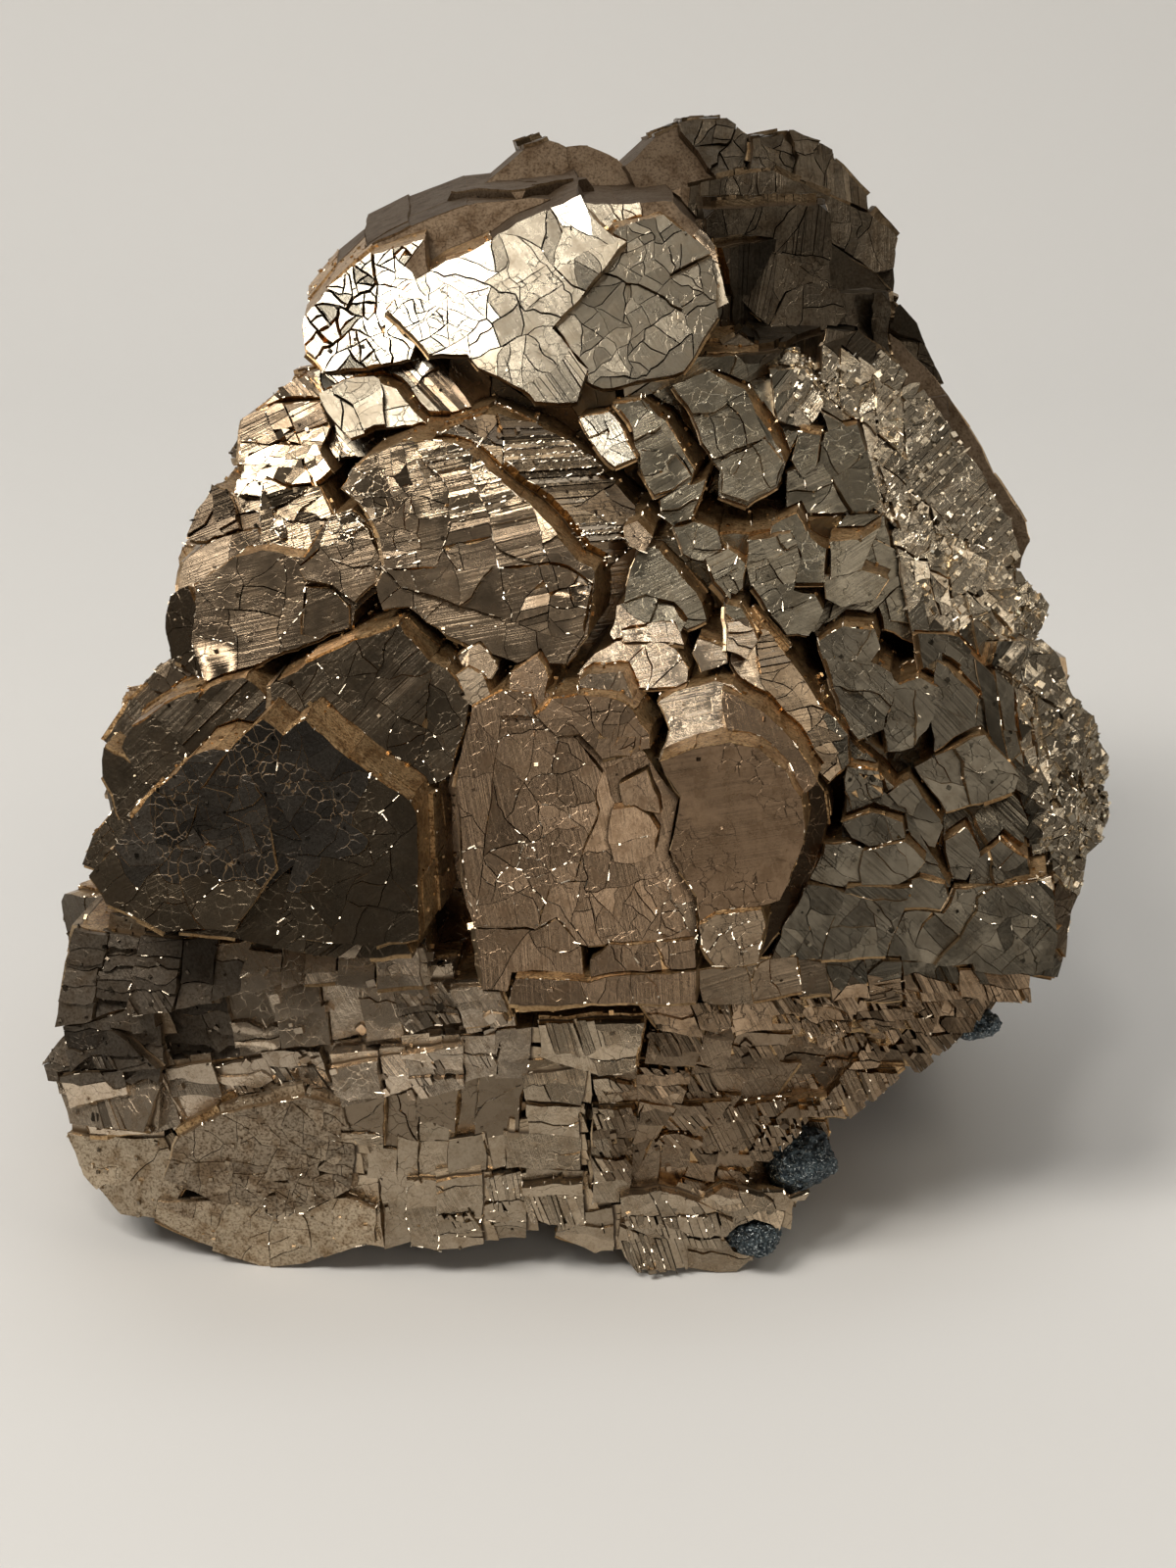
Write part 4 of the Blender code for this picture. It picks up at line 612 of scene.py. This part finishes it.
def crystal_mass():
    """The whole mass of pyrite, its facets cracked into lifted tiles, and the tile of each of
    its faces."""
    rng = random.Random(SEED)
    piece = facets_of("pyrite", "pyrite_crystals")
    bm = bmesh.new()
    bm.from_mesh(piece.data)
    nick_edges(bm, rng)
    tiles, tile_layer = crack(bm)
    raised = lift_tiles(bm, tiles, tile_layer, rng)
    bm.verts.index_update()
    raised = {vert.index for vert in raised}
    bm.to_mesh(piece.data)
    bm.free()
    owners = paint(piece.data, tiles, raised)
    piece.data.shade_flat()
    return piece, owners


# Druse: small crystals strewn on the faces of these looks, so many to a square centimetre, of
# these sizes in millimetres, and flakes on the edges of their tiles, so many to a centimetre.
Druse = namedtuple("Druse", "amount smallest largest flakes")
DRUSES = {
    "rough": Druse(26, 0.35, 0.9, 2.0), "bricks": Druse(4, 0.3, 0.7, 2.0),
    "shards": Druse(4, 0.3, 0.7, 8.0), "painted_shade_mosaic": Druse(0.5, 0.3, 0.5, 0.5),
    "chips": Druse(2, 0.3, 0.5, 0.6), "tan": Druse(3, 0.3, 0.9, 1.8),
    "dark_rows": Druse(7, 0.3, 1.3, 1.2), "split": Druse(4, 0.3, 1.2, 0.8),
    "riser": Druse(5, 0.25, 0.6, 0.8), "blue": Druse(3.5, 0.3, 0.6, 1.3),
    "slate": Druse(3.5, 0.3, 0.6, 0.6), "plate": Druse(2, 0.3, 0.5, 2.4),
    "ledge": Druse(3, 0.3, 0.5, 1.2), "mosaic": Druse(0.5, 0.3, 0.5, 0.5),
    "centre": Druse(3, 0.3, 0.5, 1.6), "worn": Druse(10, 0.3, 0.6, 0.3),
    "foot": Druse(8, 0.3, 0.6, 0.3), "dark": Druse(4, 0.3, 0.5, 0.1),
    "glint": Druse(2, 0.3, 0.5, 1.2), "smooth": Druse(0.5, 0.3, 0.4, 0.4),
    "painted_shade_rows": Druse(9, 0.3, 0.6, 0.8), "rear": Druse(0.8, 0.4, 1.3, 0.0),
    "under": Druse(1, 0.3, 0.8, 0.0),
}
SQUARE_CM = 1e-4  # in square metres

# How far a small crystal turns from its tile's lattice, its sides stretch, its middle stands off
# the face and its corners are cut, where it isn't too small to show them.
DRUSE_TURN = 0.35
DRUSE_STRETCH = (0.7, 1.3)
DRUSE_OFF = 0.1
DRUSE_CUT = 0.14
CUT_FROM = 0.9
DRUSE_LIGHT = (0.5, 1.3)
DRUSE_ROUGHNESS = (0.12, 0.3)

# Flakes are nearly parallel, as parts of one lattice, and lie on the tiles that face about the
# same way. They gather in clusters about so broad. Most are short, and most are dim.
FLAKE_FACING = Vector((-0.25, -0.68, 0.69))
FLAKE_STRAY = 0.13
FLAKED_FACING = 0.5
FLAKE_CLUSTERS = 8.0
CLUSTER_MIDDLE = 0.5
CLUSTER_SWING = 2.4
FLAKE_LENGTH = (0.25, 1.6)
FLAKE_WIDTH = (0.07, 0.2)
FLAKE_THICKNESS = 0.12
FLAKE_TINT = (0.72, 0.63, 0.5)
FLAKE_DIMMEST = 0.15
FLAKE_LIGHT = 1.1


def small_crystal(cut):
    """One cube a millimetre across, with its corners cut off or left. Returns its corners and
    the corner numbers of its sides."""
    bpy.ops.object.select_all(action="DESELECT")
    bpy.ops.mesh.primitive_cube_add(size=MM)
    crystal = bpy.context.object
    if cut:
        bpy.ops.object.mode_set(mode="EDIT")
        bpy.ops.mesh.select_all(action="SELECT")
        bpy.ops.mesh.bevel(offset=DRUSE_CUT * MM, affect="VERTICES")
        bpy.ops.object.mode_set(mode="OBJECT")
    corners = np.array([vert.co for vert in crystal.data.vertices])
    sides = [list(face.vertices) for face in crystal.data.polygons]
    bpy.data.objects.remove(crystal)
    return corners, sides


def spot_on(mesh, face, rng):
    """A random point of a face."""
    index = rng.randrange(len(face.vertices))
    first = mesh.vertices[face.vertices[index]].co
    second = mesh.vertices[face.vertices[index - 1]].co
    near, turn = math.sqrt(rng.random()), rng.random()
    return face.center.lerp(first.lerp(second, turn), near)


def strewn(mesh, face, tile, amounts, rng):
    """The placement and size of each small crystal on a face."""
    wanted = face.area / SQUARE_CM * amounts.amount
    for _ in range(int(wanted + rng.random())):
        size = amounts.smallest + (amounts.largest - amounts.smallest) * rng.random() ** 2
        side = face.normal.cross(tile.grain)
        lattice = Matrix((tile.grain, side, face.normal)).transposed()
        strays = [rng.uniform(-DRUSE_TURN, DRUSE_TURN) for _ in range(3)]
        turn = Matrix.Rotation(strays[0], 3, "X") @ Matrix.Rotation(strays[1], 3, "Y")
        turn = lattice @ turn @ Matrix.Rotation(strays[2], 3, "Z")
        stretch = Matrix.Diagonal([size * rng.uniform(*DRUSE_STRETCH) for _ in range(3)])
        spot = spot_on(mesh, face, rng) + face.normal * size * DRUSE_OFF * MM
        yield Matrix.Translation(spot) @ (turn @ stretch).to_4x4(), size


def flaked(mesh, face, amounts, rng):
    """The placement of each flake on the edges of a tile, and how long it is."""
    if face.normal.dot(FLAKE_FACING) < FLAKED_FACING:
        return
    place = face.center / MM / FLAKE_CLUSTERS
    crowd = max(0.0, CLUSTER_MIDDLE + CLUSTER_SWING * noise.noise(place))
    for first, second in face.edge_keys:
        start, end = mesh.vertices[first].co, mesh.vertices[second].co
        wanted = (end - start).length / MM / 10 * amounts.flakes * crowd
        for _ in range(int(wanted + rng.random())):
            length = FLAKE_LENGTH[0] + (FLAKE_LENGTH[1] - FLAKE_LENGTH[0]) * rng.random() ** 4
            strays = [rng.gauss(0, FLAKE_STRAY) for _ in range(3)]
            facing = (FLAKE_FACING + Vector(strays)).normalized()
            long_way = (end - start) - facing * facing.dot(end - start)
            if long_way.length < 0.1 * (end - start).length:
                continue
            long_way.normalize()
            turn = Matrix((long_way, facing.cross(long_way), facing)).transposed()
            stretch = Matrix.Diagonal((length, rng.uniform(*FLAKE_WIDTH), FLAKE_THICKNESS))
            spot = start.lerp(end, rng.random())
            yield Matrix.Translation(spot) @ (turn @ stretch).to_4x4(), length


def druse(mass, owners):
    """The small crystals and flakes on the mass, joined in one piece."""
    rng = random.Random(SEED + 1)
    mesh = mass.data
    shapes = [small_crystal(cut) for cut in (False, True)]
    points, faces, tints, finishes = [], [], [], []
    count = 0
    for face, tile in zip(mesh.polygons, owners):
        amounts = DRUSES.get(tile.name)
        if not amounts or face.normal.z < BASE_FACING:
            continue
        flakes = list(flaked(mesh, face, amounts, rng))
        crystals = list(strewn(mesh, face, tile, amounts, rng))
        for index, (matrix, size) in enumerate(flakes + crystals):
            is_flake = index < len(flakes)
            corners, sides = shapes[not is_flake and size > CUT_FROM]
            turned = np.array(matrix.to_3x3()) @ corners.T
            points.append(turned.T + np.array(matrix.translation))
            faces += [[count + corner for corner in side] for side in sides]
            count += len(corners)
            tint = FLAKE_TINT if is_flake else tile.look.tint
            light = tile.shade * rng.uniform(*DRUSE_LIGHT)
            if is_flake:
                light = FLAKE_DIMMEST + FLAKE_LIGHT * rng.random() ** 1.5
            tints += ([channel * light for channel in tint] + [1.0]) * len(sides)
            finishes += [rng.uniform(*DRUSE_ROUGHNESS), 0.0, 0.0] * len(sides)
    made = bpy.data.meshes.new("pyrite_druse")
    points = np.concatenate(points)
    points[:, 2] = np.maximum(points[:, 2], 0)
    made.from_pydata(points.tolist(), [], faces)
    made.attributes.new("tint", "FLOAT_COLOR", "FACE").data.foreach_set("color", tints)
    made.attributes.new("finish", "FLOAT_VECTOR", "FACE").data.foreach_set("vector", finishes)
    piece = bpy.data.objects.new("pyrite_druse", made)
    bpy.context.scene.collection.objects.link(piece)
    return piece


HEMATITE_ROUGHNESS = 0.8  # how far the crust's grains stand out, and how broad they are
HEMATITE_GRAIN = 0.9
HEMATITE_CONTRAST = 1.2
HEMATITE_LEVEL = 0.4  # the grain's depth that stays where the plain lump's surface is
HEMATITE_CUTS = 4
HEMATITE_ROUND = 0.3


def hematite_crust(node):
    """A crusty patch of hematite, grained all over, in place of its plain lump."""
    piece = facets_of(node, node + "_crust")
    only(piece)
    bpy.ops.object.mode_set(mode="EDIT")
    bpy.ops.mesh.select_all(action="SELECT")
    bpy.ops.mesh.quads_convert_to_tris()
    bpy.ops.mesh.subdivide(number_cuts=HEMATITE_CUTS, smoothness=HEMATITE_ROUND, seed=SEED)
    bpy.ops.object.mode_set(mode="OBJECT")
    grain = bpy.data.textures.new(node + "_grain", "VORONOI")
    grain.noise_scale = HEMATITE_GRAIN * MM
    grain.noise_intensity = HEMATITE_CONTRAST
    swell = piece.modifiers.new("grain", "DISPLACE")
    swell.texture = grain
    swell.strength = -HEMATITE_ROUGHNESS * MM
    swell.mid_level = HEMATITE_LEVEL
    bpy.ops.object.modifier_apply(modifier="grain")
    piece.data.shade_flat()
    return piece


class Signal:
    """A shader socket on which arithmetic adds Math nodes."""

    def __init__(self, finish, socket):
        self.finish = finish
        self.socket = socket

    def math(self, operation, *values):
        return self.finish.add("Math", {"operation": operation}, dict(enumerate(values)))

    def __add__(self, other):
        return self.math("ADD", self, other)

    def __sub__(self, other):
        return self.math("SUBTRACT", self, other)

    def __rsub__(self, other):
        return self.math("SUBTRACT", other, self)

    def __mul__(self, other):
        return self.math("MULTIPLY", self, other)

    __radd__ = __add__
    __rmul__ = __mul__

    def between(self, low, high):
        """How far the signal is from low to high, from 0 to 1."""
        settings = {"interpolation_type": "SMOOTHSTEP"}
        return self.finish.add("MapRange", settings, {0: self, 1: low, 2: high})


class Finish:
    """A material under construction."""

    def __init__(self, name):
        self.material = bpy.data.materials.new(name)
        self.material.use_nodes = True
        self.tree = self.material.node_tree
        self.shader = self.tree.nodes["Principled BSDF"]

    def add(self, kind, settings=None, sockets=None, output=0):
        """Adds a node: its settings first, then the values or links of its sockets."""
        made = self.tree.nodes.new("ShaderNode" + kind)
        for name, value in (settings or {}).items():
            setattr(made, name, value)
        for name, value in (sockets or {}).items():
            self.feed(made.inputs[name], value)
        return Signal(self, made.outputs[output])

    def feed(self, socket, value):
        """Links a signal to a socket, or sets the socket to a plain value."""
        if isinstance(value, Signal):
            self.tree.links.new(value.socket, socket)
        else:
            socket.default_value = value

    def place(self):
        """The place on the piece, in millimetres."""
        spot = self.add("TexCoord", output="Object")
        return self.add("VectorMath", {"operation": "SCALE"}, {0: spot, "Scale": 1 / MM})

    def noise(self, place, scale, detail=2.0, rough=0.5):
        """Cloudy noise, so many clouds to a millimetre."""
        return self.add("TexNoise", {}, {"Vector": place, "Scale": scale, "Detail": detail,
                                         "Roughness": rough})

    def value(self, name):
        """A number painted on the piece."""
        return self.add("Attribute", {"attribute_name": name}, output="Fac")

    def vector(self, name):
        """Three numbers painted on the piece."""
        return self.add("Attribute", {"attribute_name": name}, output="Vector")

    def parts(self, vector):
        """The three numbers of a vector."""
        return [self.add("SeparateXYZ", {}, {0: vector}, output=index) for index in range(3)]

    def mixed(self, share, first, second, mode="MIX"):
        """Two colours mixed by a share."""
        settings = {"data_type": "RGBA", "blend_type": mode}
        return self.add("Mix", settings, {0: share, 6: first, 7: second}, output=2)

    def relief(self, height, depth):
        """A bump of a height signal, so many millimetres deep."""
        return self.add("Bump", {}, {"Height": height, "Distance": depth * MM, "Strength": 1.0})

    def finish(self, **sockets):
        """Feeds the shader's sockets and hands over the material."""
        for name, value in sockets.items():
            self.feed(self.shader.inputs[name.replace("_", " ")], value)
        return self.material


# The dark brown of grime and painted shade in clean cracks, the tan grime of crusted cracks, and
# what tarnish and specks leave of the metal's tint.
CRACK_DIRT_AND_SHADE = (0.045, 0.028, 0.014, 1)
CRACK_TAN = (0.22, 0.135, 0.06, 1)
TARNISH = (0.6, 0.52, 0.43, 1)
SPECK = (0.3, 0.25, 0.19, 1)

# How fine the patterns of the pyrite are, as so many to a millimetre, and how deep its relief is.
STRIATIONS = 1.5
STRIATED_PATCHES = 0.16
BLOTCHES = 0.35
GRAINS = 1.8
SPECKS = 2.8
CRAZING = 0.5
CRAZED_PATCHES = 0.12
CRAZING_WANDER = (1.8, 1.8, 1.8)
HAIR_BREADTH = 0.035
PYRITE_RELIEF = 0.11
DUST = 3.0
DUST_RELIEF = 0.03

# The same of the hematite, and its colours from pits to grains to the pale glints painted in.
HEMATITE_GRAINS = 1.1
HEMATITE_PAINTED_GLINTS = 3.0
HEMATITE_RELIEF = 0.5
HEMATITE_DARK = (0.022, 0.03, 0.038, 1)
HEMATITE_BLUE = (0.1, 0.13, 0.145, 1)
HEMATITE_PAINTED_GLINT_TINT = (0.5, 0.55, 0.56, 1)


def pyrite_finish():
    """Tarnished pyrite: striated, gritty and hair-cracked metal, with grime and painted shade in
    its cracks.
    """
    made = Finish("tarnished_pyrite")
    place = made.place()
    rough, lines, crust = made.parts(made.vector("finish"))
    tint = made.vector("tint")
    grit = made.add("Attribute", {"attribute_name": "tint"}, output="Alpha")
    along = made.add("VectorMath", {"operation": "DOT_PRODUCT"},
                     {0: place, 1: made.vector("grain")}, output="Value")
    stripes = made.add("TexNoise", {"noise_dimensions": "1D"},
                       {"W": along, "Scale": STRIATIONS, "Detail": 4.0, "Roughness": 0.7})
    patches = made.noise(place, STRIATED_PATCHES, 3.0).between(0.34, 0.58)
    blotches = made.noise(place, BLOTCHES, 5.0, 0.65)
    grains = made.noise(place, GRAINS, 3.0, 0.6)
    specks = made.noise(place, SPECKS, 3.0, 0.6)
    strays = made.add("TexNoise", {}, {"Vector": place, "Scale": CRAZING, "Detail": 2.0}, output=1)
    wandering = made.add("VectorMath", {"operation": "MULTIPLY_ADD"},
                         {0: strays, 1: CRAZING_WANDER, 2: place})
    cells = made.add("TexVoronoi", {"feature": "DISTANCE_TO_EDGE"},
                     {"Vector": wandering, "Scale": CRAZING})
    crazed = made.noise(place, CRAZED_PATCHES, 2.0).between(0.44, 0.6)
    hairs = (1 - cells.between(0.0, HAIR_BREADTH)) * crazed
    # The bottoms of the cracks are painted dark brown, as grime and painted shade, or tan where
    # crusted; the hairlines take the crust.
    soiled_and_shaded = made.value("crack").between(0.55, 1.0) + hairs * crust * 0.7
    dirt_and_shade = made.mixed(crust, CRACK_DIRT_AND_SHADE, CRACK_TAN)
    stained = blotches.between(0.42, 0.68) * (grit * 0.6 + 0.3)
    metal = made.mixed(stained, tint, TARNISH, "MULTIPLY")
    metal = made.mixed(specks.between(0.42, 0.72) * grit * 0.7, metal, SPECK, "MULTIPLY")
    colour = made.mixed(soiled_and_shaded.between(0.0, 1.0), metal, dirt_and_shade)
    height = stripes * lines * patches + grains * grit * 0.6 - hairs * 0.3
    return made.finish(
        Base_Color=colour,
        Metallic=(1 - soiled_and_shaded.between(0.1, 1.0) * 0.8) * (1 - crust * 0.6),
        Roughness=rough + (blotches - 0.5) * 0.25 + soiled_and_shaded * 0.3,
        Normal=made.relief(height, PYRITE_RELIEF))


def druse_finish():
    """Bright small crystals."""
    made = Finish("bright_druse")
    place = made.place()
    rough, _, _ = made.parts(made.vector("finish"))
    dust = made.noise(place, DUST, 3.0, 0.6)
    colour = made.mixed(dust.between(0.45, 0.75) * 0.5, made.vector("tint"), TARNISH, "MULTIPLY")
    return made.finish(Base_Color=colour, Metallic=1.0, Roughness=rough + dust * 0.1,
                       Normal=made.relief(dust, DUST_RELIEF))


def hematite_finish():
    """Blue-black, glittering hematite, whose glints are painted highlights in its colour."""
    made = Finish("blue_black_hematite")
    place = made.place()
    grain = made.noise(place, HEMATITE_GRAINS, 4.0, 0.7)
    # Painted highlights: pale spots at the peaks of a fine noise, smoother than the rest.
    painted_glints = made.noise(place, HEMATITE_PAINTED_GLINTS, 2.0).between(0.56, 0.62)
    colour = made.mixed(grain.between(0.35, 0.7), HEMATITE_DARK, HEMATITE_BLUE)
    colour = made.mixed(painted_glints * 0.6, colour, HEMATITE_PAINTED_GLINT_TINT)
    return made.finish(Base_Color=colour, Metallic=0.9, Roughness=0.42 - painted_glints * 0.24,
                       Normal=made.relief(grain, HEMATITE_RELIEF))


def paper_finish():
    """Plain pale paper."""
    made = Finish("pale_paper")
    return made.finish(Base_Color=(0.66, 0.667, 0.667, 1), Roughness=0.9)


# The paper: how far it reaches in front of and beside the piece, and where and how it curves up
# behind it.
PAPER_FRONT = -0.42
PAPER_BEND = 0.35
PAPER_RADIUS = 0.25
PAPER_TOP = 1.3
PAPER_HALF = 1.4
PAPER_STEPS = 16


def select_edge(sheet, back):
    """Selects the edge of a sheet that lies at a depth."""
    for vert in sheet.data.vertices:
        vert.select = abs(vert.co.y - back) < MM
    for edge in sheet.data.edges:
        edge.select = all(sheet.data.vertices[vert].select for vert in edge.vertices)
    for face in sheet.data.polygons:
        face.select = False


def paper():
    """The pale paper that the piece stands on, which curves up behind it."""
    bpy.ops.object.select_all(action="DESELECT")
    bpy.ops.mesh.primitive_plane_add(size=2 * PAPER_HALF)
    sheet = bpy.context.object
    sheet.name = "paper"
    for side, back in ((-PAPER_HALF, PAPER_FRONT), (PAPER_HALF, PAPER_BEND)):
        select_edge(sheet, side)
        bpy.ops.object.mode_set(mode="EDIT")
        bpy.ops.transform.translate(value=(0, back - side, 0))
        bpy.ops.object.mode_set(mode="OBJECT")
    select_edge(sheet, PAPER_BEND)
    bpy.ops.object.mode_set(mode="EDIT")
    bpy.ops.mesh.spin(steps=PAPER_STEPS, angle=-math.pi / 2,
                      center=(0, PAPER_BEND, PAPER_RADIUS), axis=(1, 0, 0))
    rise = (0, 0, PAPER_TOP - PAPER_RADIUS)
    bpy.ops.mesh.extrude_region_move(TRANSFORM_OT_translate={"value": rise})
    bpy.ops.object.mode_set(mode="OBJECT")
    sheet.data.shade_smooth()
    sheet.data.materials.append(paper_finish())
    sheet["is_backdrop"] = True


# A lamp: the direction it shines from, how far off it is, its size, its power and its colour.
Lamp = namedtuple("Lamp", "name direction distance size power colour")
LAMPS = [
    Lamp("key", (-0.45, -0.32, 0.83), 1.3, 0.4, 9.5, (1.0, 0.93, 0.84)),
    Lamp("right", (0.5, -0.2, 0.84), 1.3, 0.4, 1.9, (1.0, 0.9, 0.76)),
    Lamp("glint", (-0.12, -0.42, 0.90), 1.3, 0.2, 2.2, (1.0, 0.94, 0.86)),
    Lamp("side", (-0.69, -0.2, 0.69), 1.3, 0.25, 2.2, (1.0, 0.95, 0.88)),
    Lamp("front", (0.3, -0.9, 0.42), 1.4, 0.7, 2.2, (1.0, 0.91, 0.8)),
    Lamp("ceiling", (0.15, 0.4, 0.9), 1.5, 1.2, 8, (0.95, 0.97, 1.0)),
]
ROOM_COLOUR = (0.36, 0.32, 0.27, 1)
ROOM_STRENGTH = 0.25


def lamp(spec):
    """A soft square lamp turned towards the piece."""
    light = bpy.data.lights.new(spec.name, "AREA")
    light.size = spec.size
    light.energy = spec.power
    light.color = spec.colour
    obj = bpy.data.objects.new(spec.name, light)
    direction = Vector(spec.direction).normalized()
    obj.location = FACE_CENTRE * MM + direction * spec.distance
    obj.rotation_euler = direction.to_track_quat("Z", "Y").to_euler()
    bpy.context.scene.collection.objects.link(obj)


def room():
    """The dim, even light of the room."""
    world = bpy.data.worlds.new("room")
    world.use_nodes = True
    backdrop = world.node_tree.nodes["Background"]
    backdrop.inputs["Color"].default_value = ROOM_COLOUR
    backdrop.inputs["Strength"].default_value = ROOM_STRENGTH
    bpy.context.scene.world = world


def camera():
    """The camera, square to the stepped face, at the eye."""
    lens = bpy.data.cameras.new("camera")
    lens.lens = lens.sensor_width * SIGHT / VIEW_HEIGHT
    obj = bpy.data.objects.new("camera", lens)
    turn = Matrix((ACROSS, UP, OUT)).transposed()
    obj.matrix_world = Matrix.Translation(EYE * MM) @ turn.to_4x4()
    bpy.context.scene.collection.objects.link(obj)
    bpy.context.scene.camera = obj


def show(piece, node, material):
    """Lets a piece stand for a CAD node."""
    piece.data.materials.clear()
    piece.data.materials.append(material)
    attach(piece, "root")
    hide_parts(node)


bpy.context.scene.view_settings.view_transform = "Standard"
camera()
mass, owners = crystal_mass()
show(mass, "pyrite", pyrite_finish())
show(druse(mass, owners), "pyrite", druse_finish())
hematite = hematite_finish()
for node in ("hematite_knob", "hematite_foot", "hematite_ledge"):
    show(hematite_crust(node), node, hematite)
paper()
room()
for spec in LAMPS:
    lamp(spec)

[[list(corner) for corner in box] for box in (CAD_BOX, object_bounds())]
